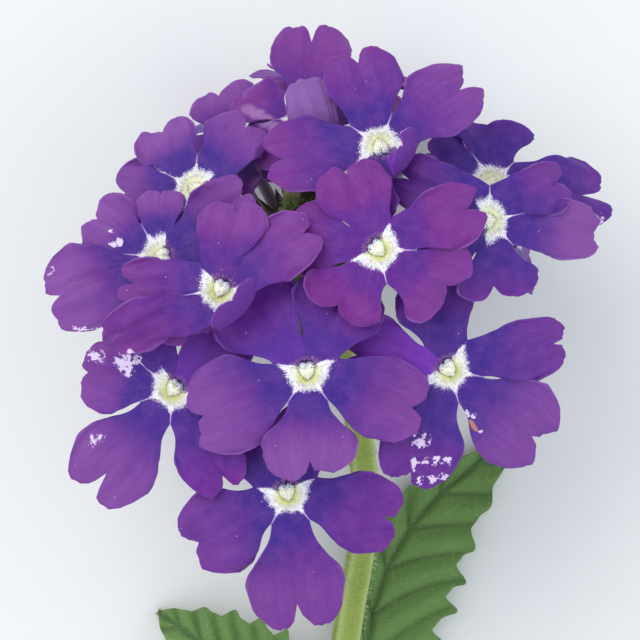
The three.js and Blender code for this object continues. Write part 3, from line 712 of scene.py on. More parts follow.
class Lobe:
    """One lobe of a corolla: its outline and how it bends, in the floret's own frame."""

    def __init__(self, row, pale, draw):
        angle, length, self.wide, rise0, rise1, *more = row
        more = more[0] if more else {}
        self.long = length - RING
        self.angle, self.rise0, self.rise1, self.roll = (
            math.radians(k) for k in (angle, rise0, rise1, more.get("roll", 0)))
        self.upright = self.rise0 > UPRIGHT
        self.skew = more.get("skew", 0.0)
        self.notch = NOTCH + more.get("notch", 0.0) + draw.uniform(-0.04, 0.03)
        self.neck = more.get("neck", NECK)
        self.fold = more.get("fold", RING)
        self.pale = pale
        self.phase = draw.uniform(0, 2 * math.pi, 6)
        self.wave = draw.uniform(0.7, 1.2)
        self.curl = draw.uniform(-0.45, 0.3)
        # half the angle to each neighbour, and whether this lobe lies over, 1, or under it, -1
        self.last = self.next = 0.0
        self.over_last = self.over_next = 0.0

    def gap(self, v):
        """Half the angle to the neighbour on the side of v."""
        return self.last + (self.next - self.last) * ease(v, -1, 1)

    def tip_reach(self, v):
        """How far out the lobe ends across its width: notched, round-sided and scalloped."""
        a = np.abs(v)
        notch = 1 - np.sqrt(1 - np.clip(1 - a / SHOULDER, 0, 1) ** 2)
        beyond = np.clip(a - SHOULDER, 0, 1 - SHOULDER) / (1 - SHOULDER)
        drop = 1 - np.sqrt(1 - beyond ** 2)
        scallop = 0.022 * np.sin(6.3 * v + self.phase[0]) + 0.013 * np.sin(13 * v + self.phase[1])
        scallop = scallop + 0.007 * np.sin(31 * v + self.phase[2])
        reach = 1 - np.where(a < SHOULDER, self.notch * notch, SIDE_DROP * drop)
        return reach + scallop * ease(1.02 - a, 0, 0.2)

    def half_width(self, reach, out, gap):
        base = RING * np.sin(gap)
        full = FULL + NECK_SHIFT * self.neck
        swell = np.sin(np.clip(reach / full, 0, 1) * math.pi / 2) ** (1 + self.neck)
        taper = 1 - NARROWING * np.clip((reach - full) / (1 - full), 0, None) ** 2
        uneven = 0.014 * np.sin(17 * reach + self.phase[3]) + 0.008 * np.sin(37 * reach + self.phase[4])
        wide = (base + (self.wide - base) * swell) * taper * (1 + uneven)
        if self.upright:
            return np.minimum(self.wide, wide)
        lap = LAP * ease(out, 0.0, LAP_GROWN)
        return np.minimum((RING + out) * np.tan(np.minimum(gap, 1.2)) + lap, wide)

    def surface(self, share, v):
        """Points of the upper face at a share of the way out and a place across, -1 to 1."""
        reach = share * self.tip_reach(v) * (1 + self.skew * v)
        d = reach * self.long
        turn = (self.rise1 - self.rise0) / self.long
        slope = self.rise0 + turn * d
        if abs(turn) < 1e-4:
            out, up = d * np.cos(slope), d * np.sin(slope)
        else:
            out = (np.sin(slope) - math.sin(self.rise0)) / turn
            up = (math.cos(self.rise0) - np.cos(slope)) / turn
        gap = self.gap(v)
        side = v * self.half_width(reach, out, gap)
        grown = np.clip(d / WAVES_GROWN, 0, 1)
        roll = self.roll * grown
        lift = CUP * self.wide * v * v * grown + self.ripple(share, v) * grown
        over = np.where(v > 0, self.over_next, self.over_last)
        lift = lift + LAP_LIFT * over * np.abs(v) ** 1.5 * ease(d, *LIFT_GROWS) * ease(d, *LIFT_FADES)
        lateral = side * np.cos(roll) - lift * np.sin(roll)
        lifted = side * np.sin(roll) + lift * np.cos(roll)
        local = stack(self.fold + out - lifted * np.sin(slope), lateral, up + lifted * np.cos(slope))
        # near the ring the lobe grows out of a round rim
        pull = np.clip(1 - share / ROOT_BLEND, 0, 1)[..., None] ** 2
        base = RING * np.sin(gap)
        start_side = v * (np.minimum(base, self.wide) if self.upright else base)
        return spin(local + (self.rim(v) - stack(self.fold, start_side, 0.0)) * pull, self.angle)

    def rim(self, v):
        """The ring at which the lobe begins, further out where a folded lobe bends up."""
        angle = v * self.gap(v)
        radius = RING + (self.fold - RING + RING_BULGE) * (1 - v * v)
        return stack(radius * np.cos(angle), radius * np.sin(angle), 0.0)

    def ripple(self, share, v):
        """Waves along the blade, a crease down its middle and a ruffled margin."""
        p = self.phase
        long_wave = 0.32 * np.sin(4.2 * share + p[2]) * np.cos(2.4 * v + p[3])
        ruffle = 0.36 * np.abs(v) ** 3 * np.sin(6.5 * share + p[4] + np.sign(v) * p[5])
        tips = (self.curl + 0.3 * np.sin(3.4 * v + p[0])) * ease(share, 0.55, 1.1) ** 1.5
        crease = -0.2 * np.exp(-(v / 0.12) ** 2) * ease(share, 0.0, 0.3)
        pleat = 0.085 * np.cos(v * 10 + p[1]) * ease(share, 0.1, 0.5)
        waves = self.wave * (long_wave + ruffle) * ease(share, 0.05, 0.6) + tips + crease + pleat
        return waves * (0.35 if self.upright else 1.0)


def read_lobes(floret, draw):
    """The five lobes, each knowing its neighbours."""
    lobes = [Lobe(row, pale, draw) for row, pale in zip(floret["lobes"], floret.get("pale", PALE))]
    for one, after in zip(lobes, lobes[1:] + lobes[:1]):
        one.next = after.last = ((after.angle - one.angle) % (2 * math.pi)) / 2
        # the lobe that stands higher along their common side lies on top
        higher = math.sin(one.rise0 + one.rise1) >= math.sin(after.rise0 + after.rise1)
        if not one.upright and not after.upright:
            one.over_next, after.over_last = (1.0, -1.0) if higher else (-1.0, 1.0)
    return lobes


class Stand:
    """Where a floret stands and the way it faces. Turned, its +Y is the eye's open side."""

    def __init__(self, floret, turned=False):
        self.eye = np.array(floret["eye"], float)
        self.n = unit([*floret["lean"], 1.0])
        x = level(self.n)
        turn = np.radians([floret["crown"] - 90, floret["crown"]] if turned else [0, 90])
        self.x, self.y = wheel(turn, x, np.cross(self.n, x))

    def way(self, local):
        return local[..., :1] * self.x + local[..., 1:2] * self.y + local[..., 2:] * self.n

    def place(self, local):
        return self.eye + self.way(local)


def scars(points, flecks):
    """How bleached each place is, and how torn and brown, above 0, or faded, below 0."""
    depth = dict(bleached=0.0, torn=0.0, faded=0.0)
    for kind, spots in flecks.items():
        for angle, far, size in spots:
            at = spin(X_WAY * far, math.radians(angle))
            spot = 1 - np.hypot(*(points - at)[:, :2].T) / size
            depth[kind] = np.maximum(depth[kind], spot)
    return depth["bleached"], depth["torn"] - depth["faded"]


def limb(lobes, floret, seed, flecks):
    """Upper face of the limb, closed at the throat, with the marks that its material reads."""
    v = np.linspace(-1, 1, LOBE_COLUMNS)
    v = np.sign(v) * (1 - (1 - np.abs(v)) ** 1.15)
    own = v[:-1]  # a lobe's last column on the ring is the first of the next lobe
    total = len(lobes) * len(own)
    # disc: rings of shared columns from the ring of sinuses into the throat
    border = np.vstack([spin(lobe.rim(own), lobe.angle) for lobe in lobes])
    away = np.hypot(border[:, 0], border[:, 1])
    angles = np.concatenate([lobe.angle + own * lobe.gap(own) for lobe in lobes])
    gaps = np.concatenate([lobe.gap(own) for lobe in lobes])
    across = np.tile(own, len(lobes))
    washes_and_light = np.repeat([lobe.pale for lobe in lobes], len(own))
    points = [border]
    for radius, height in zip(DISC_RADII, DISC_HEIGHTS):
        beyond = max(0.0, radius - THROAT) / (RING - THROAT)
        spread = min(radius, THROAT) + beyond * (away - THROAT)
        points.append(stack(spread * np.cos(angles), spread * np.sin(angles), height))
    marks = []
    for radius in (RING, *DISC_RADII):
        edge = (1 - np.abs(across)) * gaps * radius
        marks.append(stack(across, edge, washes_and_light, 0.0, edge))
    count = len(points) * total
    faces = [grid_faces(len(points), total, closed=True)]
    points.append([(0, 0, DISC_BOTTOM)])
    marks.append([(0, 1, 0, 0, 1)])
    ring = np.arange(total)
    fan = stack(count, count - total + ring, count - total + (ring + 1) % total)
    count += 1
    # lobes: rows of points beyond the ring
    share, across = np.meshgrid(np.linspace(0, 1, LOBE_ROWS + 1)[1:] ** 0.95, v, indexing="ij")
    for k, lobe in enumerate(lobes):
        reach = share * lobe.tip_reach(across)
        half = lobe.half_width(reach, reach * lobe.long, lobe.gap(across))
        side_edge = (1 - np.abs(across)) * half
        edge = np.minimum(side_edge, (1 - share) * lobe.long)
        points.append(lobe.surface(share, across).reshape(-1, 3))
        marks.append(stack(across, side_edge, lobe.pale, reach, edge).reshape(-1, 5))
        first = (k * len(own) + np.arange(LOBE_COLUMNS)) % total
        rows = np.vstack([first, count + np.arange(share.size).reshape(share.shape)])
        quads = stack(rows[:-1, :-1], rows[1:, :-1], rows[1:, 1:], rows[:-1, 1:])
        faces.append(quads.reshape(-1, 4))
        count += share.size
    points = np.vstack(points)
    across, side_edge, pale, reach, edge = np.vstack(marks).T
    x, y, _ = spin(points, math.radians(90 - floret["crown"])).T
    marks = dict(
        limb=stack(x, y, reach),
        lobe=stack(across, side_edge, edge),
        tint=stack(floret["hue"], pale, seed),
        side=stack(np.zeros(len(points)), *scars(points, flecks)),
        groove=stack(np.full(len(points), floret.get("green", GREENNESS)), 0.0, 0.0),
    )
    return points, faces, fan, marks, RIM + (BLADE - RIM) * np.clip(edge / RIM_WIDE, 0, 1)


def shell(points, quads, fan, thickness):
    """Points and faces of a blade that has the given thickness under its upper face."""
    quads = np.vstack(quads)
    normal = np.zeros_like(points)
    for face in (quads, fan):
        a, b, c, d = (points[face[:, k]] for k in (0, 1, 2, -1))
        for corner in face.T:
            np.add.at(normal, corner, np.cross(c - a, d - b))
    below = points - unit(normal) * thickness[:, None]
    n = len(points)
    sides = []
    for face in (quads, fan):
        count = face.shape[1]
        sides += [face[:, [k, (k + 1) % count]] for k in range(count)]
    sides = np.vstack(sides)
    a, b = sides[~np.isin(sides @ (n, 1), sides @ (1, n))].T
    rim = stack(b, a, a + n, b + n)
    faces = [np.vstack([quads, quads[:, ::-1] + n, rim]), np.vstack([fan, fan[:, ::-1] + n])]
    return np.vstack([points, below]), faces


# ---- the stem ----
STEM_LINE = np.array([
    (-2.6, -78, 1.56), (-0.6, -62, 1.54), (1.4, -44, 1.9), (3.3, -31, 3.0), (4.7, -22, 5.6),
    (4.4, -13.5, 9.4), (2.6, -4.5, 14.2), (-0.4, 4, 20.4), (-3.4, 11.3, 27),
])
STEM_WIDE = [2.9, 2.8, 2.8, 2.7, 2.6, 2.6, 2.5, 2.3, 1.7]  # at the same places
STEM_SIDES = 56
STEM_ROWS = 150
STEM_TURN = math.radians(12)
# How far its corners stand out and its sides sink in, as shares of its width.
STEM_RIDGE, STEM_HOLLOW = 0.035, 0.03
STEM_HAIRS = 3800
LOWEST_HAIR = 0.5  # above the floor
FLOOR_CLEARANCE = 0.02
# Rings of the cut face: share of its width, and how deep they lie.
CUT_RINGS = [(0.55, 0.22), (0.86, 0.1)]
NODE_Y = -43.0  # where the leaves grow from the stem
NODE_SWELL = 0.9
NODE_LONG = 5.0
RACHIS_FOOT, RACHIS_TOP = 0.8, 0.985  # between which the calyces sit along the stem
TUBE_NECK = 5.0  # how far under the eye a corolla's tube starts to bend
CALYX_LENGTH = 8.5
CALYX_RADIUS = 1.5
CALYX_TEETH = 1.7
SPENT_TEETH = 1.2
CALYX_SIDES = 40
CALYX_ROWS = 22
CALYX_PROFILE = ([0, 0.2, 0.5, 0.8, 1], [0.55, 0.78, 0.93, 0.97, 1.0])  # along it, and width
CALYX_RIBS = 5  # and as many teeth
RIB_HEIGHT = 0.05  # as a share of the calyx's radius
CALYX_HAIRS = 90
# Rings inside a calyx's mouth: share of its radius, and how far above the mouth they lie.
OPEN_MOUTH = [(0.86, 0.05), (0.78, -0.35), (0.72, -1.2), (0.68, -2.1)]
SHUT_MOUTH = [(0.6, 0.2), (0.25, 0.3)]
TOOTH_WIDE = 0.62
TOOTH_SEAT = 0.93  # where a tooth stands, as a share of the calyx's radius
TOOTH_FLARE = 0.35  # how far its point leans out
TOOTH_OUTER, TOOTH_INNER = 0.11, 0.09  # how far a tooth's faces bulge
# Size of a kind of hair: shortest, longest and thickness.
STEM_HAIR = (0.25, 0.75, 0.023)
CALYX_HAIR = (0.35, 0.8, 0.022)
# Calyces without a corolla: where each leaves the rachis, where it ends and its radius.
SPENT = [(0.97, (0.5, 11.9, 29.4), 0.9775), (0.95, (-5.8, 9.4, 32), 0.92), (0.99, (-2.6, 14, 32), 0.92)]
SKIN, HAIR = range(2)


def stem_point(t):
    """A place along the stem, 0 at its cut end and 1 at its tip, on a centripetal curve."""
    line = STEM_LINE
    last = len(line) - 1
    t = float(np.clip(t, 0, 1)) * last
    i = min(int(t), last - 1)
    w = t - i
    p1, p2 = line[i], line[i + 1]
    p0 = line[i - 1] if i > 0 else 2 * p1 - p2
    p3 = line[i + 2] if i + 2 <= last else 2 * p2 - p1
    d0, d1, d2 = (np.linalg.norm(b - a) ** 0.5 for a, b in ((p0, p1), (p1, p2), (p2, p3)))
    m1 = ((p1 - p0) / d0 - (p2 - p0) / (d0 + d1) + (p2 - p1) / d1) * d1
    m2 = ((p2 - p1) / d1 - (p3 - p1) / (d1 + d2) + (p3 - p2) / d2) * d1
    h = w * w * (3 - 2 * w)
    return p1 * (1 - h) + p2 * h + m1 * (w * (1 - w) ** 2) - m2 * (w * w * (1 - w))


def calyx_path(floret):
    """Foot and mouth of a floret's calyx, its direction and where the tube above it bends."""
    stand = Stand(floret)
    foot = stem_point(RACHIS_FOOT + (RACHIS_TOP - RACHIS_FOOT) * floret["seat"])
    neck = stand.eye - stand.n * TUBE_NECK
    out = unit(neck - foot)
    return foot, foot + out * CALYX_LENGTH, out, neck


def add_calyx(pile, foot, mouth, kind, radius, teeth, inside):
    """A ribbed pod with five pointed teeth and a hairy skin."""
    out = unit(mouth - foot)
    side = unit(np.cross(out, [0.2, 0.1, 0.97]))
    other = np.cross(out, side)
    t = np.linspace(0, 1, CALYX_ROWS)
    length = np.linalg.norm(mouth - foot)
    profile = radius * np.interp(t, *CALYX_PROFILE)
    angle = compass(CALYX_SIDES)
    centres = foot + np.outer(t * length, out)
    ribbed = 1 + RIB_HEIGHT * np.cos(CALYX_RIBS * angle)
    outer = tube_between(centres, profile[:, None] * ribbed, CALYX_SIDES, side)
    # the mouth turns in over a thin wall and goes down inside
    around = wheel(angle, side, other)
    rings = np.concatenate([outer, [mouth + out * up + around * radius * k for k, up in inside]])
    points, faces = capped(rings)
    tall = np.concatenate([np.repeat(t, CALYX_SIDES), np.ones(len(inside) * CALYX_SIDES), [0, 1]])
    rib = np.clip(np.cos(CALYX_RIBS * angle), 0, 1) * 0.6
    ribs = np.append(np.tile(rib, len(rings)), [0, 0])
    pile.add(points, faces, SKIN, stalk=stack(tall, ribs, kind))
    steps = np.linspace(-0.15, 1, 9)[:, None]
    width = TOOTH_WIDE * np.clip(1 - steps, 0.04, 1) ** 0.8
    for away in wheel(compass(CALYX_RIBS), side, other):
        beside = np.cross(out, away) * width
        leaning = radius * TOOTH_SEAT + TOOTH_FLARE * np.clip(steps, 0, 1) ** 2
        line = mouth + out * steps * teeth + away * leaning
        inner, outer = line - away * TOOTH_INNER, line + away * TOOTH_OUTER
        tooth, faces = capped(np.stack([inner, line - beside, outer, line + beside], 1))
        pile.add(tooth, faces, SKIN, stalk=np.tile([1.0, 0.3, kind], (len(tooth), 1)))
    along = pile.draw.uniform(0.05, 1.0, CALYX_HAIRS)
    ways = wheel(pile.draw.uniform(0, 2 * math.pi, CALYX_HAIRS), side, other)
    skin = np.interp(along, t, profile)
    roots = foot + np.outer(along * length, out) + ways * (skin * 0.98)[:, None]
    pile.add_hairs(HAIR, roots, ways + out * 0.5, CALYX_HAIR)


def add_stem(pile):
    """The square main stem and the rachis, from the cut end to the tip, and their hairs."""
    t = np.linspace(0, 1, STEM_ROWS)
    centres = np.array([stem_point(k) for k in t])
    along = unit(np.gradient(centres, axis=0))
    flat = compass(STEM_SIDES)
    angle = flat + STEM_TURN
    square = 0.5 / (np.cos(flat) ** 4 + np.sin(flat) ** 4) ** 0.25
    corner = np.abs(np.sin(2 * flat))
    ridge = corner ** 10
    shape = square + STEM_RIDGE * ridge - STEM_HOLLOW * (1 - corner) ** 6
    widths = np.interp(t, np.linspace(0, 1, len(STEM_WIDE)), STEM_WIDE)
    rings = []
    for centre, ahead, wide, k in zip(centres, along, widths, t):
        side = level(ahead)
        wide += NODE_SWELL * max(0, 1 - abs(centre[1] - NODE_Y) / NODE_LONG)
        wobble = 1 + 0.012 * np.sin(angle * 3 + k * 40) + 0.01 * math.sin(k * 95)
        around = wheel(angle, side, np.cross(ahead, side))
        rings.append(centre + around * (wide * shape * wobble)[:, None])
    # the cut end: a sharp rim and a slightly sunken face
    face = rings[0]
    middle = face.mean(0)
    sunk = [middle + (face - middle) * k + along[0] * deep for k, deep in CUT_RINGS]
    rings = np.array([*sunk, *rings])
    rings[..., 2] = np.maximum(rings[..., 2], FLOOR_CLEARANCE)
    points, faces = capped(rings)
    cut = len(sunk) * STEM_SIDES
    tall = np.concatenate([np.zeros(cut), np.repeat(t, STEM_SIDES), [0, 1]])
    ridges = np.append(np.tile(ridge, len(rings)), [0, 0])
    kind = np.full(len(points), STEM_SKIN)
    kind[:cut] = kind[-2] = CUT_FACE
    pile.add(points, faces, SKIN, stalk=stack(tall, ridges, kind))
    draw = pile.draw
    row = (draw.uniform(0.01, 0.99, STEM_HAIRS) * (STEM_ROWS - 1)).astype(int) + len(sunk)
    roots = rings[row, draw.integers(0, STEM_SIDES, STEM_HAIRS)]
    ways = unit(roots - rings[row].mean(1)) + draw.normal(0, 0.25, (STEM_HAIRS, 3))
    clear = roots[:, 2] > LOWEST_HAIR
    pile.add_hairs(HAIR, roots[clear], ways[clear], STEM_HAIR, (0, 0, -0.1))


def build_stem(draw):
    pile = Pile(draw)
    add_stem(pile)
    for floret in FLORETS:
        foot, mouth, _, _ = calyx_path(floret)
        add_calyx(pile, foot, mouth, CALYX_SKIN, CALYX_RADIUS, CALYX_TEETH, OPEN_MOUTH)
    for start, tip, radius in SPENT:
        add_calyx(pile, stem_point(start), np.array(tip), DRY_SKIN, radius, SPENT_TEETH, SHUT_MOUTH)
    materials = [stem_material(), hair_material("stem_hair", srgb(226, 232, 196))]
    pile.make("flowering_stem", materials, "stem")


# ---- building a floret ----
PETAL, TUBE, FUZZ, FRINGE, KNOB, CREAM, DOTS = range(7)
TUBE_RADIUS = 0.62
FUNNEL, SWELLING = 0.82, 0.12  # how much wider it is under the limb and a third of the way down
TUBE_SIDES = 20
TUBE_ROWS = 22
TUBE_TOP = 0.3  # how far under the eye it begins
TUBE_HOLD = 3  # how far its curve is held in line with the calyx
SEAT = 2.0  # how deep the tube stands in its calyx
KNOB_SIDES = 44
KNOB_WIDE = 0.72
KNOB_LONG = 0.84
KNOB_FOOT = -0.17
KNOB_RISE = 0.42
KNOB_DEEP = 0.2  # how far its wall goes down under its foot
KNOB_RINGS = (1.0, 0.94, 0.85, 0.74, 0.6, 0.45, 0.3, 0.15)  # shares of its outline
# Short hairs on the knob: how many, which, and from where to where along it.
KNOB_HAIRS = [(120, CREAM, -1.0, 0.55), (60, FUZZ, 0.4, 1.2), (26, DOTS, 0.35, 1.1)]
KNOB_HAIR = {CREAM: (0.1, 0.2, 0.022), FUZZ: (0.1, 0.2, 0.02), DOTS: (0.1, 0.2, 0.022)}
# Hairs round the throat. spread is how far they go round to each side, as a share of a half
# turn, from straight below the open side for the fuzz and from its middle for the fringe.
FUZZ_LOOK = dict(
    count=460, spread=0.63, below=-0.02, stray=0.4, rise=(0.2, 0.9), size=(0.12, 0.32, 0.019), droop=0.25)
FRINGE_LOOK = dict(
    count=46, spread=0.36, below=0.0, stray=0.3, rise=(0.1, 0.5), size=(0.22, 0.48, 0.042), droop=0.2)
FUZZ_REACH = ([0, 0.25, 0.45, 0.58, 0.64], [1.7, 1.8, 1.9, 2.2, 2.3])
DARK_DOTS = 30
DOT_RADIUS = (0.03, 0.05)
DOT_GROWTH = 0.028  # how much larger they are towards the open side
SHARP_FLORETS = 11  # the first ones, which are seen from near, have all their hairs
FEWER = 0.4
# Scars of some florets: direction, distance from the eye and size.
FLECKS = {
    1: dict(bleached=[(152, 5.4, 2.0), (158, 8.6, 1.2), (212, 9.9, 0.8), (214, 9.1, 0.8)]),
    3: dict(
        bleached=[
            (248, 7.6, 1.3), (250, 9.9, 0.8), (256, 9.5, 0.7), (262, 9.3, 0.8), (269, 9.1, 0.7),
            (256, 11.5, 0.9), (262, 11.1, 0.9), (268, 10.7, 0.8), (292, 4.7, 0.7), (296, 5.2, 0.6),
            (297, 7.0, 0.4)],
        torn=[(292.8, 5.7, 0.35), (293.4, 6.2, 0.35), (294, 6.7, 0.3)]),
    5: dict(bleached=[(212, 11.0, 0.6), (217, 10.0, 0.5), (222, 8.8, 0.4)]),
    7: dict(bleached=[
        (158, 4.6, 0.7), (164, 5.2, 0.6), (152, 6.2, 0.5), (185, 11.8, 0.6), (217, 11.3, 0.7),
        (222, 10.6, 0.7), (228, 9.9, 0.7)]),
    10: dict(bleached=[(340, 10.8, 1.1), (343, 11.5, 1.3), (348, 11.8, 1.1), (336, 9.9, 0.6)]),
    11: dict(faded=[(168, 6.2, 1.2), (174, 5.2, 1.2), (184, 4.3, 1.2), (200, 3.6, 1.0)]),
}


def add_tube(pile, stand, floret):
    """The corolla's tube, wide under the limb, down to its seat in the calyx."""
    _, mouth, out, neck = calyx_path(floret)
    t = np.linspace(0, 1, TUBE_ROWS)
    line = bezier(stand.eye - stand.n * TUBE_TOP, neck, mouth + out * TUBE_HOLD, mouth, t)
    funnel = FUNNEL * np.exp(-(t / 0.11) ** 1.3) + SWELLING * np.exp(-((t - 0.3) / 0.16) ** 2)
    radius = TUBE_RADIUS + np.append(funnel, 0.0)
    rings = tube_between(np.vstack([line, mouth - out * SEAT]), radius, TUBE_SIDES, stand.x)
    points, faces = capped(rings)
    tall = np.append(np.repeat(np.append(t, 1.0), TUBE_SIDES), [0, 1])
    pile.add(points, faces, TUBE, limb=stack(0.0, 0.0, tall))


def heart_edge(angle):
    """Places on a heart's outline in each direction from its middle, its cleft at +Y."""
    low, high = np.full(len(angle), 0.5), np.full(len(angle), 1.6)
    for _ in range(24):
        r = (low + high) / 2
        u, w = r * np.cos(angle), r * np.sin(angle)
        inside = (u * u + w * w - 1) ** 3 - u * u * w ** 3 < 0
        low, high = np.where(inside, r, low), np.where(inside, high, r)
    return stack(low * np.cos(angle) * KNOB_WIDE, low * np.sin(angle) * KNOB_LONG)


def knob_height(flat, share):
    """How high the knob stands: a low dome with a cleft towards the open side."""
    dome = np.clip(1 - share * share, 0, 1) ** 0.6
    cleft = 0.55 * np.exp(-(flat[..., 0] / 0.13) ** 2) * ease(flat[..., 1], -0.1, 0.35)
    return KNOB_FOOT + KNOB_RISE * dome * (1 - cleft)


def add_knob(pile, eye):
    """The heart-shaped mound in the throat, its point away from the open side, and its hairs."""
    outline = heart_edge(compass(KNOB_SIDES))
    rings = [stack(*outline.T, KNOB_FOOT - KNOB_DEEP)]
    for share in KNOB_RINGS:
        flat = outline * share
        rings.append(stack(*flat.T, knob_height(flat, share)))
    points, faces = capped(np.array(rings))
    pile.add(eye.place(points), faces, KNOB, limb=points)
    draw = pile.draw
    for count, slot, low, high in KNOB_HAIRS:
        angle = draw.uniform(0, 2 * math.pi, count * 2)
        share = draw.uniform(0.02, 1.0, count * 2) ** 0.5
        flat = heart_edge(angle) * share[:, None]
        kept = (flat[:, 1] > low) & (flat[:, 1] < high)
        flat, share = flat[kept], share[kept]
        roots = stack(*flat.T, knob_height(flat, share) - 0.02)
        spread = flat * 0.7 + draw.normal(0, 0.3, flat.shape)
        ways = stack(*spread.T, draw.uniform(0.3, 0.9, len(flat)))
        pile.add_hairs(slot, eye.place(roots), eye.way(ways), KNOB_HAIR[slot])


def add_ruff(pile, eye, slot, look, dense):
    """Hairs round the throat that point out and up."""
    draw = pile.draw
    n = int(look["count"] * dense)
    around = draw.uniform(-look["spread"], look["spread"], n) * math.pi
    if slot == FUZZ:
        facing, reach = -1, np.interp(np.abs(around) / math.pi, *FUZZ_REACH)
        reach = reach * draw.uniform(0.45, 1.06, n) ** 0.6
    else:
        facing, reach = 1, draw.uniform(1.05, 1.5, n)
    out = stack(np.sin(around), facing * np.cos(around), 0.0)
    roots = out * reach[:, None] + (0, 0, look["below"])
    aside, ahead = draw.normal(0, look["stray"], n), draw.normal(0, look["stray"], n)
    ways = out + stack(aside, ahead, draw.uniform(*look["rise"], n))
    pile.add_hairs(slot, eye.place(roots), eye.way(ways), look["size"], -look["droop"] * eye.n)


def add_eye(pile, eye, dense):
    """White fuzz round the throat, the lavender fringe at its open side and the knob in it."""
    add_ruff(pile, eye, FUZZ, FUZZ_LOOK, dense)
    add_ruff(pile, eye, FRINGE, FRINGE_LOOK, dense)
    add_knob(pile, eye)
    # dark dots round the knob
    draw = pile.draw
    angle = compass(DARK_DOTS) + draw.normal(0, 0.06, DARK_DOTS)
    flat = heart_edge(angle) * draw.uniform(1.0, 1.14, DARK_DOTS)[:, None]
    dots = stack(*flat.T, draw.uniform(-0.14, -0.04, DARK_DOTS))
    size = draw.uniform(*DOT_RADIUS, DARK_DOTS) + DOT_GROWTH * np.clip(np.sin(angle), 0, 1)
    pile.add_beads(DOTS, eye.place(dots), size)


def build_floret(index, floret, materials):
    draw = np.random.default_rng(100 + index)
    lobes = read_lobes(floret, draw)
    stand = Stand(floret)
    upper, quads, fan, marks, thickness = limb(lobes, floret, index * 3.7, FLECKS.get(index, {}))
    points, faces = shell(upper, quads, fan, thickness)
    marks = {name: np.vstack([mark, mark]) for name, mark in marks.items()}
    marks["side"][len(upper):, 0] = 1.0
    pile = Pile(draw)
    pile.add(stand.place(points), faces, PETAL, **marks)
    add_tube(pile, stand, floret)
    add_eye(pile, Stand(floret, turned=True), 1.0 if index < SHARP_FLORETS else FEWER)
    pile.make(f"bloom_{index + 1:02d}", materials, f"floret_{index + 1:02d}")


def build_florets():
    materials = [
        petal_material(),
        tube_material(),
        hair_material("eye_fuzz", srgb(247, 241, 251)),
        hair_material("crown_fringe", srgb(172, 118, 184)),
        knob_material(),
        hair_material("throat_cream", srgb(255, 248, 222)),
        hair_material("throat_dark", srgb(58, 44, 84), 0.5),
    ]
    for index, floret in enumerate(FLORETS):
        build_floret(index, floret, materials)


# ---- leaves ----
TEETH = 6
LEAF_BLADE = 0.4
LEAF_EDGE = 0.12  # thickness there
LEAF_NARROWEST = 0.3  # half its width there
LEAF_BACK_LOW, LEAF_FACE_LOW = 0.03, 0.12  # how low its back and its face may come
LEAF_VEIN = 0.4
VEIN_DEPTH = 0.22
QUILT_HEIGHT = 0.34
RIB, SIDE_RIB = 0.35, 0.12  # how far the veins stand out of the leaf's back
LEAF_ROWS = 150
LEAF_COLUMNS = 61
LEAF_HAIRS = 320
LEAF_HAIR = (0.2, 0.5, 0.02)
EDGE_HAIRS = 420
EDGE_HAIR = (0.2, 0.45, 0.02)
# wide is across both halves, lift how far the leaf's middle rises, droop how far its tip sinks
# and bow how far it curves aside. lean says how much both halves turn up, fold how much more
# the one beside the stem does, and narrow how wide that one is beside the other.
LEAVES = {
    "leaf_right": dict(
        foot=(4.5, -42.6, 1.7), tip=(21.5, -12.2, 1.6), droop=0.2, wide=16.2, lean=0.06, lift=0,
        bow=5.4, narrow=0.45, fold=0.1),
    "leaf_left": dict(
        foot=(-0.6, -42.8, 2.6), tip=(-17.5, -31.5, 2.35), droop=1.5, wide=12, lean=0.12, lift=3,
        bow=0, narrow=1, fold=0),
}


def leaf_half(s, wide):
    """Half the leaf's width at each share of its length: a stalk and a toothed blade."""
    body = np.sin(math.pi * np.minimum(1, s ** 0.75)) ** 0.8
    phase = s * (TEETH + 1)
    saw = phase % 1.0
    tooth = 0.86 + 0.2 * np.where(saw < 0.72, ease(saw, 0.05, 0.72), 1 - ease(saw, 0.72, 1.0))
    blade = wide / 2 * body * tooth * (1 + 0.02 * np.sin(phase * 4 * math.pi))
    stalk = np.interp(s, [0, 0.14, 0.16, 0.97, 1], [0.8, 0.75, 0, 0, 0.15])
    return np.maximum(stalk, blade * ease(s, 0.1, 0.2))


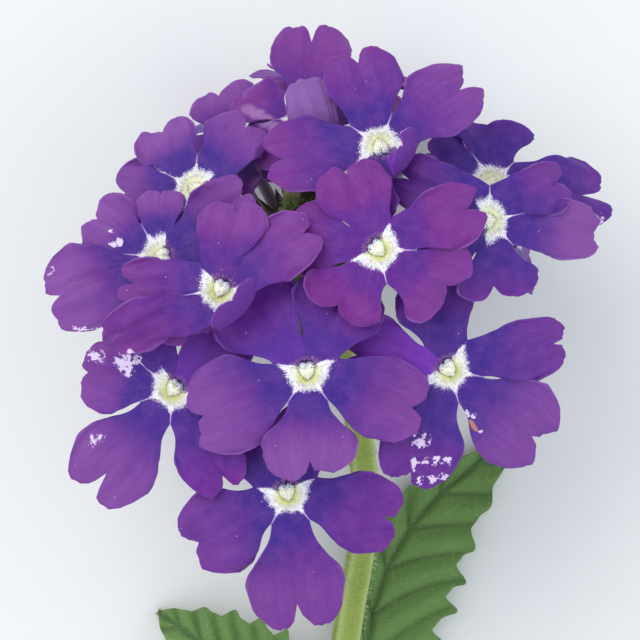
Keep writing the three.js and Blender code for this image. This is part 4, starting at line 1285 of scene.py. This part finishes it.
def build_leaf(node, form, materials, draw):
    start = np.array(form["foot"])
    along = np.array(form["tip"]) - start
    long = np.linalg.norm(along)
    along = along / long
    side = unit(np.cross([0, 0, 1], along))
    up = np.cross(along, side)
    rows = np.linspace(0, 1, LEAF_ROWS)
    s, v = np.meshgrid(rows, np.linspace(-1, 1, LEAF_COLUMNS), indexing="ij")
    # the half beside the stem may be narrower and folded up
    beside = form["narrow"] * np.minimum(1, (2 * s) ** 2) if form["narrow"] < 1 else 1.0
    half = leaf_half(rows, form["wide"])[:, None] * np.where(v > 0, beside, 1.0)
    half = np.maximum(LEAF_NARROWEST, half)
    reach = np.abs(v) * half
    # veins: one along the middle and one to each tooth, with the blade quilted between them
    spacing = long / (TEETH + 1)
    run = (s * long - 1.1 * reach) / spacing
    from_vein = np.abs((run + 0.5) % 1 - 0.5) * spacing
    side_vein = np.exp(-(from_vein / LEAF_VEIN) ** 2) * ease(s, 0.12, 0.22) * (1 - 0.6 * np.abs(v))
    mid_vein = np.exp(-(reach / LEAF_VEIN) ** 2)
    vein = np.maximum(side_vein, mid_vein)
    quilt = QUILT_HEIGHT * np.cos(2 * math.pi * run + math.pi) * np.abs(v) ** 0.5
    quilt = quilt * ease(s, 0.12, 0.25) * (1 - v ** 6)
    height = form["lift"] * np.sin(math.pi * s) - form["droop"] * s ** 2
    height = height + reach * (form["lean"] * np.abs(v) + np.where(v > 0, form["fold"], 0))
    height = height + quilt - VEIN_DEPTH * vein
    turn = np.arctan(form["bow"] * math.pi * np.cos(math.pi * s) / long)
    aside = form["bow"] * np.sin(math.pi * s) + np.sign(v) * reach * np.cos(turn)
    ahead = s * long - np.sign(v) * reach * np.sin(turn)
    top = start + ahead[..., None] * along + aside[..., None] * side + height[..., None] * up
    thickness = np.minimum(LEAF_BLADE, LEAF_EDGE + (1 - np.abs(v)) * half * 0.6)
    low = top - (thickness + RIB * mid_vein + SIDE_RIB * side_vein)[..., None] * up
    top, low = top.reshape(-1, 3), low.reshape(-1, 3)
    low[:, 2] = np.maximum(low[:, 2], LEAF_BACK_LOW)
    top[:, 2] = np.maximum(top[:, 2], LEAF_FACE_LOW)
    # upper and lower face and the rim between them
    n = len(top)
    quads = grid_faces(LEAF_ROWS, LEAF_COLUMNS)[:, ::-1]
    number = np.arange(n).reshape(s.shape)
    border = np.concatenate([number[0], number[1:, -1], number[-1, -2::-1], number[-2:0:-1, 0]])
    after = np.roll(border, -1)
    rim = stack(border, after, after + n, border + n)
    faces = np.vstack([quads, quads[:, ::-1] + n, rim])
    blade = stack(s, v, vein).reshape(-1, 3)
    under = stack(np.repeat([0.0, 1.0], n), 0.0, 0.0)
    pile = Pile(draw)
    pile.add(np.vstack([top, low]), [faces], SKIN, blade=np.vstack([blade, blade]), side=under)
    roots = top[draw.integers(0, n, LEAF_HAIRS)]
    ways = up + draw.normal(0, 0.3, (LEAF_HAIRS, 3)) + along * 0.4
    pile.add_hairs(HAIR, roots, ways, LEAF_HAIR)
    pick = border[draw.integers(0, len(border), EDGE_HAIRS)]
    outward = np.sign(v.ravel()[pick])[:, None] * side
    ways = outward + along * 0.6 + draw.normal(0, 0.2, (EDGE_HAIRS, 3))
    pile.add_hairs(HAIR, top[pick], ways, EDGE_HAIR)
    pile.make(node.replace("leaf", "toothed_leaf"), materials, node)


def build_leaves(draw):
    materials = [leaf_material(), hair_material("leaf_hair", srgb(222, 230, 200))]
    for node, form in LEAVES.items():
        build_leaf(node, form, materials, draw)


make_camera()
make_sky()
make_floor()
for light in LIGHTS:
    make_light(*light)
bpy.context.scene.view_settings.view_transform = "Standard"
draw_order = np.random.default_rng(11)
build_stem(draw_order)
build_florets()
build_leaves(draw_order)
